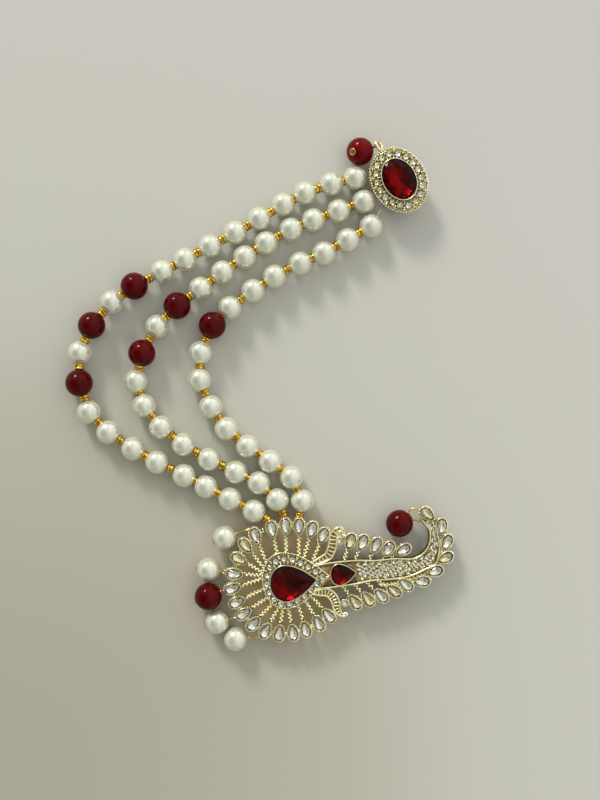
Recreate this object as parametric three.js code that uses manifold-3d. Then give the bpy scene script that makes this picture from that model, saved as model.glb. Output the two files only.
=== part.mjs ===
// Kalgi: a turban ornament of two cast brooches, a paisley plume and an oval button, joined by
// three strings of pearls, lying flat as it would on a table.
// Millimetres, +Z up, +Y towards the button, origin at the bottom centre of the whole.
import * as THREE from "three";
import { mergeVertices } from "three/addons/utils/BufferGeometryUtils.js";
import Module from "manifold-3d";

const wasm = await Module();
wasm.setup();

// Clearances
const GAP = 0.3;
const LAP = 0.4;

// Beads and strings
const PEARL_RADIUS = 4;
const GARNET_RADIUS = 4.6;
const SPACER_RADIUS = 1.5;
const END_SPACER_LENGTH = 0.8;
const THREAD_RADIUS = 0.35;
const BEAD_SIDES = 10;
const BEAD_BANDS = 4;
const BEAD_HOLE_RADIUS = 0.62;

// Each string: chosen beads along it, as x, y in mm and the bead's number from the button end
const STRAND_ROUTES = {
  outer: [
    [32.0, 72.7, 0], [15.1, 67.6, 2], [-8.4, 54.3, 5], [-32.8, 41.2, 8], [-49.8, 31.0, 10],
    [-60.6, 14.1, 12], [-57.5, -5.8, 14], [-42.7, -18.2, 16], [-25.5, -27.2, 18], [-2.0, -39.2, 21],
  ],
  middle: [
    [34.9, 64.8, 0], [10.4, 55.5, 3], [-5.1, 46.2, 5], [-20.0, 35.6, 7], [-34.6, 22.9, 9],
    [-41.7, 4.5, 11], [-33.3, -11.0, 13], [-17.1, -21.8, 15], [-0.4, -29.7, 17], [5.8, -35.4, 18],
  ],
  inner: [
    [37.4, 56.6, 0], [21.5, 47.5, 2], [4.9, 39.7, 4], [-16.0, 23.2, 7], [-20.3, 4.9, 9],
    [-11.3, -11.5, 11], [-4.2, -17.4, 12], [10.5, -27.8, 14], [14.2, -35.8, 15],
  ],
};
// Which beads of each string are garnet red, and the rim collet that its thread is tied to
const STRAND_BEADS = {
  outer: { garnets: [9, 11, 13], collet: 4 },
  middle: { garnets: [8, 10], collet: 3 },
  inner: { garnets: [7], collet: 2 },
};

// Plume brooch, in its own plan: u along its length from the centre stone, v across it
const PLUME_PLACE = new THREE.Vector2(10.95, -62.9);
const PLUME_TURN = THREE.MathUtils.degToRad(7.5);
const PLUME_BACK = 3.7;
const PLATE_THICKNESS = 1.9;
const FAN_RADIUS = 18.2;
const FAN_CENTRE = new THREE.Vector2(-1.5, 1.25);
const TAIL_LENGTH = 52.8;

// Collets of the rim and tail, each with a clear pear stone
const COLLET_LENGTH = 6.0;
const COLLET_WIDTH = 4.3;
const COLLET_HEIGHT = 3.0;
const COLLET_WALL = 0.55;
const STONE_RISE = 0.35;
const STONE_BEVEL = 0.55;
const COLLET_SIDES = 8;
// Fan rim: turn about the fan's centre in degrees, reach as a share of the fan's radius,
// and the way the stone's point looks, in degrees
const FAN_RIM = [
  { turn: 43.8, reach: 1.037, point: -119 },
  { turn: 56.7, reach: 1.021, point: -113 },
  { turn: 70.4, reach: 1.0, point: -98 },
  { turn: 84.8, reach: 0.979, point: -96 },
  { turn: 99.8, reach: 0.973, point: -86 },
  { turn: 118.6, reach: 0.998, point: -76 },
  { turn: 133.5, reach: 0.989, point: -59 },
  { turn: 149.5, reach: 0.969, point: -38 },
  { turn: 166.2, reach: 0.979, point: -12 },
  { turn: 181.7, reach: 1.022, point: 10 },
  { turn: 196.5, reach: 1.014, point: 18 },
  { turn: 210.0, reach: 1.016, point: 25 },
  { turn: 224.7, reach: 1.021, point: 38 },
  { turn: 239.2, reach: 1.02, point: 53 },
  { turn: 253.6, reach: 0.994, point: 74 },
  { turn: 268.4, reach: 0.975, point: 94 },
  { turn: 282.4, reach: 0.97, point: 100 },
  { turn: 297.8, reach: 0.979, point: 113 },
  { turn: 311.3, reach: 0.998, point: 125 },
];
// Tail: place as shares of the tail's length, and the way the stone's point looks
const TAIL_UPPER = [
  { along: 0.396, across: 0.212, point: -115 },
  { along: 0.472, across: 0.195, point: -121 },
  { along: 0.553, across: 0.165, point: -121 },
  { along: 0.629, across: 0.133, point: -128 },
  { along: 0.72, across: 0.114, point: -155 },
];
const TAIL_LOWER = [
  { along: 0.375, across: -0.172, point: 121 },
  { along: 0.458, across: -0.165, point: 125 },
  { along: 0.545, across: -0.153, point: 131 },
  { along: 0.629, across: -0.134, point: 140 },
  { along: 0.708, across: -0.104, point: 138 },
  { along: 0.811, across: -0.098, point: 178 },
  { along: 0.903, across: -0.045, point: -169 },
  { along: 0.979, across: 0.03, point: -157 },
  { along: 1.0, across: 0.127, point: -121 },
  { along: 0.983, across: 0.231, point: -98 },
  { along: 0.903, across: 0.32, point: -52 },
];
// Rails and collars, as shares of the tail's length
const RAIL_WIDTH = 0.75;
const RAIL_HEIGHT = 2.7;
const RAIL_STEPS = 16;
const RAIL_UPPER = [
  [0.142, 0.087], [0.25, 0.092], [0.411, 0.087], [0.54, 0.07], [0.669, 0.066], [0.773, 0.051],
  [0.837, 0.072], [0.881, 0.115], [0.9, 0.161], [0.903, 0.216], [0.881, 0.258], [0.86, 0.292],
];
const RAIL_LOWER = [
  [0.133, -0.057], [0.271, -0.061], [0.392, -0.059], [0.508, -0.051], [0.619, -0.058], [0.739, -0.055],
  [0.843, -0.025], [0.911, 0.002], [0.939, 0.059], [0.951, 0.123], [0.947, 0.199], [0.925, 0.27],
];
const COLLAR_WIDTH = 1.7;
const COLLAR_STEPS = 9;
const COLLAR_UPPER = [
  [0.142, 0.104], [0.206, 0.121], [0.248, 0.142], [0.275, 0.188], [0.286, 0.227], [0.297, 0.265],
  [0.328, 0.294], [0.356, 0.29], [0.358, 0.252],
];
const COLLAR_LOWER = [
  [0.117, -0.08], [0.172, -0.085], [0.212, -0.091], [0.241, -0.123], [0.254, -0.161], [0.256, -0.195],
  [0.265, -0.223], [0.288, -0.246], [0.311, -0.241],
];
// Round side stones by the collars, as shares of the tail's length
const SIDE_STONES = [[0.33, 0.224], [0.311, -0.17]];

// Spokes, and the links of the side stones
const SPOKE_WIDTH = 0.95;
const SPOKE_HEIGHT = 1.9;
const LINK_HEIGHT = 1.2;
const SPOKE_REACH = 14;

// Halo round the centre stone
const HALO_CENTRE = new THREE.Vector2(1.1, 1.05);
const HALO_LENGTH = 22.4;
const HALO_WIDTH = 19.1;
const HALO_STONES = 18;
const HALO_SIDES = 20;
const LIP_WIDTH = 0.55;
const LIP_RISE = 0.55;

// Round stones
const ROUND_RADIUS = 0.95;
const PAVE_RADIUS = 0.8;
const PAVE_PITCH = 2.0;
const PAVE_START = 0.28;
const PAVE_ROWS = 23;
const ROUND_RISE = 0.75;
const ROUND_SIDES = 8;

// Red stones of the plume
const CENTRE_LENGTH = 15.2;
const CENTRE_WIDTH = 11.6;
const CENTRE_HEIGHT = 4.1;
const CENTRE_PLACE = new THREE.Vector2(0.3, 0.1);
const SMALL_LENGTH = 8.2;
const SMALL_WIDTH = 6.6;
const SMALL_HEIGHT = 3.3;
const SMALL_PLACE = [0.326, 0.012];
const BEZEL_WALL = 0.55;
const SEAT_THICKNESS = 0.6;
const CUT_SIDES = 12;

// Oval brooch
const BUTTON_PLACE = new THREE.Vector2(46.35, 71.35);
const BUTTON_TURN = THREE.MathUtils.degToRad(29.5);
const BUTTON_LENGTH = 23.2;
const BUTTON_WIDTH = 18.9;
const BUTTON_BACK = 5.6;
const BUTTON_PLATE = 1.8;
const BUTTON_STONES = 18;
const BUTTON_SIDES = 18;
const ROPE_WIDTH = 0.9;
const OVAL_LENGTH = 14.0;
const OVAL_WIDTH = 10.4;
const OVAL_HEIGHT = 4.2;
const BAIL_RADIUS = 1.75;
const BAIL_WIRE = 0.45;

// Hidden brooch pins: a bar soldered near the back, two blocks that stand on the table, a needle
const PIN_WIDTH = 4.5;
const PIN_BAR = 0.8;
const PIN_BLOCK = 4.5;
const PIN_NEEDLE = 0.45;
const PLUME_PIN_LENGTH = 34;
const BUTTON_PIN_LENGTH = 15;

// Drops: a bead threaded on a head pin, the ends of its wire at a collet.
// A bead's place is out past the collet's round end, from its middle, and aside of it, in mm
const WIRE_RADIUS = 0.28;
const WIRE_SIDES = 5;
const HEAD_RADIUS = 0.8;
const HEAD_LENGTH = 0.4;
const WIRE_LIFT = 1.1;
const FAN_DROPS = [
  { name: "pearl_1", garnet: false, collet: 5, out: 3.0, aside: -9.99, spread: 0 },
  { name: "pearl_2", garnet: false, collet: 8, out: 8.95, aside: 0.4, spread: 0.9 },
  { name: "garnet", garnet: true, collet: 9, out: 8.74, aside: -0.31, spread: 0 },
  { name: "pearl_3", garnet: false, collet: 11, out: 9.41, aside: 2.04, spread: 0 },
  { name: "pearl_4", garnet: false, collet: 13, out: 7.82, aside: 7.24, spread: 0 },
];
const TIP_DROP = { collet: TAIL_LOWER.length - 1, out: 4.24, aside: -8.83, spread: 1.9 };
const BUTTON_DROP = new THREE.Vector2(33.6, 81.5);
const BUTTON_WIRE_PAST = 0.9;

// Colours and finishes
const gold = new THREE.MeshStandardMaterial({ color: 0xd9cf9f, roughness: 0.25, metalness: 1 });
const pin = new THREE.MeshStandardMaterial({ color: 0xcdbf8a, roughness: 0.35, metalness: 1 });
const wire = new THREE.MeshStandardMaterial({ color: 0xd2a24a, roughness: 0.25, metalness: 1 });
const pearl = new THREE.MeshStandardMaterial({ color: 0xeeebe0, roughness: 0.25, metalness: 0 });
const garnet = new THREE.MeshStandardMaterial({ color: 0x6a0a0c, roughness: 0.08, metalness: 0 });
const redStone = new THREE.MeshStandardMaterial({ color: 0x7a0808, roughness: 0.05, metalness: 0 });

// Solids from geometries and back

function solid(geometry) {
  const bare = new THREE.BufferGeometry();
  bare.setAttribute("position", geometry.getAttribute("position").clone());
  if (geometry.index) bare.setIndex(geometry.index.clone());
  const merged = mergeVertices(bare, 1e-4);
  const corners = merged.index.array;
  const triangles = [];
  for (let t = 0; t < corners.length; t += 3) {
    const [a, b, c] = corners.slice(t, t + 3);
    if (a !== b && b !== c && c !== a) triangles.push(a, b, c);
  }
  return new wasm.Manifold(new wasm.Mesh({
    numProp: 3,
    vertProperties: new Float32Array(merged.getAttribute("position").array),
    triVerts: new Uint32Array(triangles),
  }));
}

function geometryOf(body) {
  const mesh = body.getMesh();
  const geometry = new THREE.BufferGeometry();
  geometry.setAttribute("position", new THREE.BufferAttribute(mesh.vertProperties, 3));
  geometry.setIndex(new THREE.BufferAttribute(mesh.triVerts, 1));
  geometry.computeVertexNormals();
  return geometry;
}

function joined(bodies) {
  return bodies.reduce((whole, body) => whole.add(body));
}

// A closed geometry through rings of points, all turning left about the way they advance
function loftGeometry(rings) {
  const count = rings[0].length;
  const last = (rings.length - 1) * count;
  const positions = rings.flat().flatMap((point) => [point.x, point.y, point.z]);
  const indices = [];
  for (let row = 0; row + 1 < rings.length; row += 1) {
    for (let k = 0; k < count; k += 1) {
      const a = row * count + k;
      const b = row * count + (k + 1) % count;
      indices.push(a, b, b + count, a, b + count, a + count);
    }
  }
  for (let k = 1; k + 1 < count; k += 1) {
    indices.push(0, k + 1, k);
    indices.push(last, last + k, last + k + 1);
  }
  const geometry = new THREE.BufferGeometry();
  geometry.setAttribute("position", new THREE.Float32BufferAttribute(positions, 3));
  geometry.setIndex(indices);
  geometry.computeVertexNormals();
  return geometry;
}

// Outlines as lists of plane points, turning left

function pear(length, width, sides) {
  const points = [];
  for (let k = 0; k < sides; k += 1) {
    const t = (2 * Math.PI * k) / sides;
    const x = (length / 2) * Math.cos(t);
    const y = 1.299 * (width / 2) * Math.sin(t) * Math.sin(t / 2);
    points.push(new THREE.Vector2(x, y));
  }
  return points;
}

function oval(length, width, sides) {
  const points = [];
  for (let k = 0; k < sides; k += 1) {
    const t = (2 * Math.PI * k) / sides;
    points.push(new THREE.Vector2((length / 2) * Math.cos(t), (width / 2) * Math.sin(t)));
  }
  return points;
}

function placed(outline, centre, turn, z) {
  return outline.map((point) => {
    const turned = point.clone().rotateAround(new THREE.Vector2(), turn);
    return new THREE.Vector3(turned.x + centre.x, turned.y + centre.y, z);
  });
}

// A flat plate from an outline, between two heights
function plate(outline, low, high) {
  const shape = new THREE.Shape(outline);
  const geometry = new THREE.ExtrudeGeometry(shape, { depth: high - low, bevelEnabled: false });
  geometry.translate(0, 0, low);
  return solid(geometry);
}

// A ribbon of even width along a plane curve, as an outline
function ribbonOutline(points, width) {
  const left = [];
  const right = [];
  points.forEach((point, k) => {
    const before = points[Math.max(k - 1, 0)];
    const after = points[Math.min(k + 1, points.length - 1)];
    const along = after.clone().sub(before).normalize();
    const side = new THREE.Vector2(-along.y, along.x).multiplyScalar(width / 2);
    left.push(point.clone().add(side));
    right.push(point.clone().sub(side));
  });
  return [...right, ...left.reverse()];
}

function smooth(points, steps) {
  return new THREE.SplineCurve(points).getSpacedPoints(steps);
}

function tailPoint([along, across]) {
  return new THREE.Vector2(along * TAIL_LENGTH, across * TAIL_LENGTH);
}

function heading(degrees) {
  const angle = THREE.MathUtils.degToRad(degrees);
  return new THREE.Vector2(Math.cos(angle), Math.sin(angle));
}

// A round tube through points, with a radius at each, its rings upright across the route
function tube(points, radii, sides) {
  const rings = points.map((point, k) => {
    const before = points[Math.max(k - 1, 0)];
    const after = points[Math.min(k + 1, points.length - 1)];
    const along = after.clone().sub(before).setZ(0).normalize();
    return upright(point, along, radii[k], sides);
  });
  return loftGeometry(rings);
}

// A ring of points across a level direction, with one at the very bottom
function upright(centre, along, radius, sides) {
  const up = new THREE.Vector3(0, 0, 1);
  const side = up.clone().cross(along);
  const ring = [];
  for (let k = 0; k < sides; k += 1) {
    const angle = -Math.PI / 2 + (2 * Math.PI * k) / sides;
    ring.push(centre.clone()
      .addScaledVector(side, radius * Math.cos(angle))
      .addScaledVector(up, radius * Math.sin(angle)));
  }
  return ring;
}

// Where things sit in the plume's plan

function rimPlace(stone) {
  return heading(stone.turn).multiplyScalar(stone.reach * FAN_RADIUS).add(FAN_CENTRE);
}

function tailPlace(stone) {
  return tailPoint([stone.along, stone.across]);
}

// A place in the world, out past a stone's round end, from its middle, and aside of it
function offStone(stone, place, out, aside) {
  const point = heading(stone.point);
  const side = new THREE.Vector2(-point.y, point.x).multiplyScalar(aside);
  const inPlan = place.addScaledVector(point, -out).add(side);
  return inPlan.rotateAround(new THREE.Vector2(), PLUME_TURN).add(PLUME_PLACE);
}

// The outermost point of a collet's round end, further out by the gap, or beside that
function colletEnd(stone, place, spread) {
  const spot = offStone(stone, place, COLLET_LENGTH / 2 + GAP, spread);
  return new THREE.Vector3(spot.x, spot.y, PLUME_BACK + WIRE_LIFT);
}

// Sub-parts of the plume's setting

function colletWithStone(place, point) {
  const lip = PLUME_BACK + COLLET_HEIGHT;
  const inner = (wall) => pear(COLLET_LENGTH - 2 * wall, COLLET_WIDTH - 2 * wall, COLLET_SIDES);
  const ring = (wall, z) => placed(inner(wall), place, THREE.MathUtils.degToRad(point), z);
  return solid(loftGeometry([
    ring(0, PLUME_BACK),
    ring(0, lip),
    ring(COLLET_WALL, lip - COLLET_WALL / 2),
    ring(COLLET_WALL + STONE_BEVEL, lip + STONE_RISE),
  ]));
}

function collets() {
  return [
    ...FAN_RIM.map((stone) => colletWithStone(rimPlace(stone), stone.point)),
    ...[...TAIL_UPPER, ...TAIL_LOWER].map((stone) => colletWithStone(tailPlace(stone), stone.point)),
  ];
}

function bar(from, to, width, low, high) {
  return plate(ribbonOutline([from, to], width), low, high);
}

// How far a ray from a point runs before it enters an outline
function reachTo(outline, from, along) {
  let best = SPOKE_REACH;
  outline.forEach((a, k) => {
    const b = outline[(k + 1) % outline.length];
    const edge = b.clone().sub(a);
    const cross = along.x * edge.y - along.y * edge.x;
    const start = a.clone().sub(from);
    const distance = (start.x * edge.y - start.y * edge.x) / cross;
    const share = (start.x * along.y - start.y * along.x) / cross;
    if (distance > 0 && share >= 0 && share <= 1) best = Math.min(best, distance);
  });
  return best;
}

function spokesTo(stones, placeOf, outline) {
  return stones.map((stone) => {
    const along = heading(stone.point);
    const from = placeOf(stone);
    const reach = reachTo(outline, from, along) + LAP;
    const to = from.clone().addScaledVector(along, reach);
    return bar(from, to, SPOKE_WIDTH, PLUME_BACK, PLUME_BACK + SPOKE_HEIGHT);
  });
}

function roundStone(place, radius, seat) {
  const geometry = new THREE.CylinderGeometry(radius * 0.6, radius, ROUND_RISE + GAP, ROUND_SIDES);
  geometry.rotateX(Math.PI / 2);
  geometry.translate(place.x, place.y, seat + (ROUND_RISE - GAP) / 2);
  return solid(geometry);
}

// Points at even steps round a closed outline
function roundOutline(outline, count, centre) {
  const loop = new THREE.Path([...outline, outline[0]]);
  return loop.getSpacedPoints(count).slice(0, count).map((point) => point.add(centre));
}

function haloBody() {
  const top = PLUME_BACK + PLATE_THICKNESS;
  const bezelTop = PLUME_BACK + SEAT_THICKNESS + CENTRE_HEIGHT - 1.3;
  const rim = (inset, z) => placed(
    pear(HALO_LENGTH - 2 * inset, HALO_WIDTH - 2 * inset, HALO_SIDES), HALO_CENTRE, 0, z);
  const bezel = (grow, z) => placed(
    pear(CENTRE_LENGTH + 2 * grow, CENTRE_WIDTH + 2 * grow, HALO_SIDES), CENTRE_PLACE, 0, z);
  return solid(loftGeometry([
    rim(0, PLUME_BACK),
    rim(0, top + LIP_RISE),
    rim(LIP_WIDTH, top),
    bezel(GAP + BEZEL_WALL, top),
    bezel(GAP + BEZEL_WALL, bezelTop),
    bezel(GAP, bezelTop),
    bezel(GAP, PLUME_BACK + SEAT_THICKNESS),
  ]));
}

function haloStones() {
  const midLength = (HALO_LENGTH - 2 * LIP_WIDTH + CENTRE_LENGTH + 2 * (GAP + BEZEL_WALL)) / 2;
  const midWidth = (HALO_WIDTH - 2 * LIP_WIDTH + CENTRE_WIDTH + 2 * (GAP + BEZEL_WALL)) / 2;
  const centre = HALO_CENTRE.clone().add(CENTRE_PLACE).multiplyScalar(0.5);
  const line = pear(midLength, midWidth, 2 * HALO_SIDES);
  return roundOutline(line, HALO_STONES, centre).map((place) => (
    roundStone(place, ROUND_RADIUS, PLUME_BACK + PLATE_THICKNESS)
  ));
}

function smallBezel() {
  const top = PLUME_BACK + SEAT_THICKNESS + SMALL_HEIGHT - 0.9;
  const ring = (grow, z) => placed(
    pear(SMALL_LENGTH + 2 * grow, SMALL_WIDTH + 2 * grow, CUT_SIDES), tailPoint(SMALL_PLACE), 0, z);
  return solid(loftGeometry([
    ring(GAP + BEZEL_WALL, PLUME_BACK),
    ring(GAP + BEZEL_WALL, top),
    ring(GAP, top),
    ring(GAP, PLUME_BACK + SEAT_THICKNESS),
  ]));
}

function railCurves() {
  return [RAIL_UPPER, RAIL_LOWER].map((rail) => smooth(rail.map(tailPoint), RAIL_STEPS));
}

function rails() {
  return railCurves().map((curve) => (
    plate(ribbonOutline(curve, RAIL_WIDTH), PLUME_BACK, PLUME_BACK + RAIL_HEIGHT)
  ));
}

function paveBed() {
  const from = Math.round(PAVE_START * RAIL_STEPS);
  const [upper, lower] = railCurves().map((curve) => curve.slice(from));
  return plate([...lower, ...upper.reverse()], PLUME_BACK, PLUME_BACK + PLATE_THICKNESS);
}

// Staggered rows of small stones across the bed, as many in a row as its width takes
function paveStones() {
  const [upper, lower] = [RAIL_UPPER, RAIL_LOWER].map((rail) => new THREE.SplineCurve(rail.map(tailPoint)));
  const stones = [];
  for (let row = 0; row < PAVE_ROWS; row += 1) {
    const share = PAVE_START + ((row + 0.7) / PAVE_ROWS) * (1 - PAVE_START);
    const low = lower.getPointAt(share);
    const high = upper.getPointAt(share);
    const width = low.distanceTo(high) - RAIL_WIDTH;
    const count = Math.max(1, Math.floor(width / PAVE_PITCH) - (row % 2));
    for (let k = 0; k < count; k += 1) {
      const across = 0.5 + ((k - (count - 1) / 2) * PAVE_PITCH) / (width + RAIL_WIDTH);
      const place = low.clone().lerp(high, across);
      stones.push(roundStone(place, PAVE_RADIUS, PLUME_BACK + PLATE_THICKNESS));
    }
  }
  return stones;
}

function collars() {
  return [COLLAR_UPPER, COLLAR_LOWER].map((collar) => (
    plate(ribbonOutline(smooth(collar.map(tailPoint), COLLAR_STEPS), COLLAR_WIDTH),
      PLUME_BACK, PLUME_BACK + RAIL_HEIGHT)
  ));
}

function sideStones() {
  return SIDE_STONES.flatMap((share, k) => {
    const place = tailPoint(share);
    const anchor = tailPlace([TAIL_UPPER, TAIL_LOWER][k][0]);
    return [
      plate(placed(oval(2.6, 2.6, ROUND_SIDES), place, 0, 0), PLUME_BACK, PLUME_BACK + PLATE_THICKNESS),
      bar(place, anchor, SPOKE_WIDTH, PLUME_BACK, PLUME_BACK + LINK_HEIGHT),
      roundStone(place, ROUND_RADIUS, PLUME_BACK + PLATE_THICKNESS),
    ];
  });
}

function plumeSetting() {
  const halo = placed(pear(HALO_LENGTH, HALO_WIDTH, HALO_SIDES), HALO_CENTRE, 0, 0);
  const bed = railCurves();
  const bedOutline = [...bed[1], ...bed[0].reverse()];
  const frame = joined([haloBody(), smallBezel(), ...rails(), ...collars(), paveBed()]);
  const cavity = plate(
    placed(pear(CENTRE_LENGTH + 2 * GAP, CENTRE_WIDTH + 2 * GAP, HALO_SIDES), CENTRE_PLACE, 0, 0),
    PLUME_BACK + SEAT_THICKNESS, PLUME_BACK + 2 * CENTRE_HEIGHT);
  const smallCavity = plate(
    placed(pear(SMALL_LENGTH + 2 * GAP, SMALL_WIDTH + 2 * GAP, CUT_SIDES), tailPoint(SMALL_PLACE), 0, 0),
    PLUME_BACK + SEAT_THICKNESS, PLUME_BACK + 2 * SMALL_HEIGHT);
  const whole = joined([
    frame,
    ...spokesTo(FAN_RIM, rimPlace, halo),
    ...spokesTo(TAIL_UPPER, tailPlace, bedOutline),
    ...spokesTo(TAIL_LOWER, tailPlace, bedOutline),
    ...collets(),
    ...haloStones(),
    ...paveStones(),
    ...sideStones(),
  ]);
  return whole.subtract(cavity).subtract(smallCavity);
}

// A cut stone: pavilion, girdle, two steps of crown facets and a table
function cutStone(outlineAt, floor, height) {
  return loftGeometry([
    outlineAt(0.35, floor + GAP),
    outlineAt(1, floor + GAP + 0.5 * height),
    outlineAt(1, floor + GAP + 0.58 * height),
    outlineAt(0.84, floor + GAP + 0.85 * height),
    outlineAt(0.6, floor + GAP + height),
  ]);
}

function pearStone(length, width, height, place) {
  const outlineAt = (share, z) => placed(pear(share * length, share * width, CUT_SIDES), place, 0, z);
  return cutStone(outlineAt, PLUME_BACK + SEAT_THICKNESS, height);
}

// Oval brooch

function ovalStone() {
  const outlineAt = (share, z) => placed(
    oval(share * OVAL_LENGTH, share * OVAL_WIDTH, CUT_SIDES), new THREE.Vector2(), Math.PI / 2, z);
  return cutStone(outlineAt, BUTTON_BACK + SEAT_THICKNESS, OVAL_HEIGHT);
}

function buttonBody() {
  const top = BUTTON_BACK + BUTTON_PLATE;
  const bezelTop = BUTTON_BACK + SEAT_THICKNESS + OVAL_HEIGHT - 1.2;
  const rim = (inset, z) => placed(
    oval(BUTTON_LENGTH - 2 * inset, BUTTON_WIDTH - 2 * inset, BUTTON_SIDES),
    new THREE.Vector2(), Math.PI / 2, z);
  const bezel = (grow, z) => placed(
    oval(OVAL_LENGTH + 2 * grow, OVAL_WIDTH + 2 * grow, BUTTON_SIDES), new THREE.Vector2(), Math.PI / 2, z);
  return solid(loftGeometry([
    rim(ROPE_WIDTH / 3, BUTTON_BACK),
    rim(0, BUTTON_BACK + BUTTON_PLATE / 2),
    rim(0, top),
    rim(ROPE_WIDTH / 2, top + LIP_RISE),
    rim(ROPE_WIDTH, top),
    bezel(GAP + BEZEL_WALL, top),
    bezel(GAP + BEZEL_WALL, bezelTop),
    bezel(GAP, bezelTop),
    bezel(GAP, BUTTON_BACK + SEAT_THICKNESS),
  ]));
}

function buttonStones() {
  const midLength = (BUTTON_LENGTH - 2 * ROPE_WIDTH + OVAL_LENGTH + 2 * (GAP + BEZEL_WALL)) / 2;
  const midWidth = (BUTTON_WIDTH - 2 * ROPE_WIDTH + OVAL_WIDTH + 2 * (GAP + BEZEL_WALL)) / 2;
  const line = oval(midWidth, midLength, 2 * BUTTON_SIDES);
  return roundOutline(line, BUTTON_STONES, new THREE.Vector2()).map((place) => (
    roundStone(place, ROUND_RADIUS, BUTTON_BACK + BUTTON_PLATE)
  ));
}

// The bail stands on edge, soldered to the rim at the end of the long axis
const BAIL_PLACE = new THREE.Vector3(0, BUTTON_LENGTH / 2 + BAIL_RADIUS, BUTTON_BACK + BUTTON_PLATE / 2);

function bail() {
  const ring = new THREE.TorusGeometry(BAIL_RADIUS, BAIL_WIRE, WIRE_SIDES, 10);
  ring.rotateY(Math.PI / 2);
  ring.translate(...BAIL_PLACE);
  return solid(ring);
}

function buttonSetting() {
  return joined([buttonBody(), ...buttonStones(), bail()]);
}

// Hidden pin, one plain solid: its bar lies along x at the given height
function pinSolid(length, back) {
  const top = back - GAP;
  const half = length / 2;
  const block = (from, to) => plate(
    [[from, -PIN_WIDTH / 2], [to, -PIN_WIDTH / 2], [to, PIN_WIDTH / 2], [from, PIN_WIDTH / 2]]
      .map(([x, y]) => new THREE.Vector2(x, y)), 0, top - PIN_BAR / 2);
  const barOutline = [[-half, -1], [half, -1], [half, 1], [-half, 1]]
    .map(([x, y]) => new THREE.Vector2(x, (y * PIN_WIDTH) / 2));
  const needleHeight = (top - PIN_BAR) / 2;
  const needle = tube(
    [new THREE.Vector3(-half + LAP, 0, needleHeight), new THREE.Vector3(half - LAP, 0, needleHeight)],
    [PIN_NEEDLE, PIN_NEEDLE], WIRE_SIDES);
  return joined([
    plate(barOutline, top - PIN_BAR, top),
    block(-half, -half + PIN_BLOCK),
    block(half - PIN_BLOCK, half),
    solid(needle),
  ]);
}

// Strings of beads

function strandBeads(route, garnets) {
  const curve = new THREE.CatmullRomCurve3(
    route.map(([x, y]) => new THREE.Vector3(x, y, 0)), false, "catmullrom", 0.5);
  const spans = route.length - 1;
  const beads = [];
  for (let bead = 0; bead <= route[spans][2]; bead += 1) {
    const span = Math.min(route.findLastIndex((row) => row[2] <= bead), spans - 1);
    const [from, to] = [route[span][2], route[span + 1][2]];
    const radius = garnets.includes(bead) ? GARNET_RADIUS : PEARL_RADIUS;
    const centre = curve.getPoint((span + (bead - from) / (to - from)) / spans).setZ(radius);
    beads.push({ centre, radius });
  }
  return beads;
}

// The rings of one bead: its two drilled ends and three between them
function beadRings(centre, along, radius) {
  const endAngle = Math.asin(SPACER_RADIUS / radius);
  const rings = [];
  for (let k = 0; k <= BEAD_BANDS; k += 1) {
    const angle = endAngle + (k / BEAD_BANDS) * (Math.PI - 2 * endAngle);
    const place = centre.clone().addScaledVector(along, -radius * Math.cos(angle));
    rings.push(upright(place, along, radius * Math.sin(angle), BEAD_SIDES));
  }
  return rings;
}

// One string as one closed body: thread, beads with spacers between, last spacer, thread
function strandGeometry(beads, buttonEnd, plumeEnd) {
  const centres = beads.map((bead) => bead.centre);
  const level = (from, to) => to.clone().sub(from).setZ(0).normalize();
  const first = level(buttonEnd, centres[0]);
  const last = level(centres[centres.length - 1], plumeEnd);
  const rings = [upright(buttonEnd, first, THREAD_RADIUS, BEAD_SIDES)];
  rings.push(upright(centres[0].clone().addScaledVector(first, -beads[0].radius),
    first, THREAD_RADIUS, BEAD_SIDES));
  beads.forEach((bead, k) => {
    const before = k === 0 ? buttonEnd : centres[k - 1];
    const after = k === beads.length - 1 ? plumeEnd : centres[k + 1];
    rings.push(...beadRings(bead.centre, level(before, after), bead.radius));
  });
  const end = beads[beads.length - 1];
  const spacerEnd = end.centre.clone().addScaledVector(last, end.radius + END_SPACER_LENGTH);
  rings.push(upright(spacerEnd, last, SPACER_RADIUS, BEAD_SIDES));
  rings.push(upright(spacerEnd, last, THREAD_RADIUS, BEAD_SIDES));
  rings.push(upright(plumeEnd, last, THREAD_RADIUS, BEAD_SIDES));
  return loftGeometry(rings);
}

// Where a string's thread ends, just under the oval brooch and short of the pin there
function threadUnderButton(centre) {
  const inward = BUTTON_PLACE.clone().sub(new THREE.Vector2(centre.x, centre.y));
  const place = BUTTON_PLACE.clone().sub(inward.setLength(BUTTON_WIDTH / 2 - 1.2));
  return new THREE.Vector3(place.x, place.y, BUTTON_BACK - GAP - THREAD_RADIUS);
}

// Drops

function drilledBead(radius) {
  const start = Math.asin(BEAD_HOLE_RADIUS / radius);
  const profile = [];
  for (let k = 0; k <= BEAD_BANDS; k += 1) {
    const angle = start + (k / BEAD_BANDS) * (Math.PI - 2 * start);
    profile.push(new THREE.Vector2(radius * Math.sin(angle), -radius * Math.cos(angle)));
  }
  return geometryOf(solid(new THREE.LatheGeometry([...profile, profile[0]], BEAD_SIDES)));
}

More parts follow.
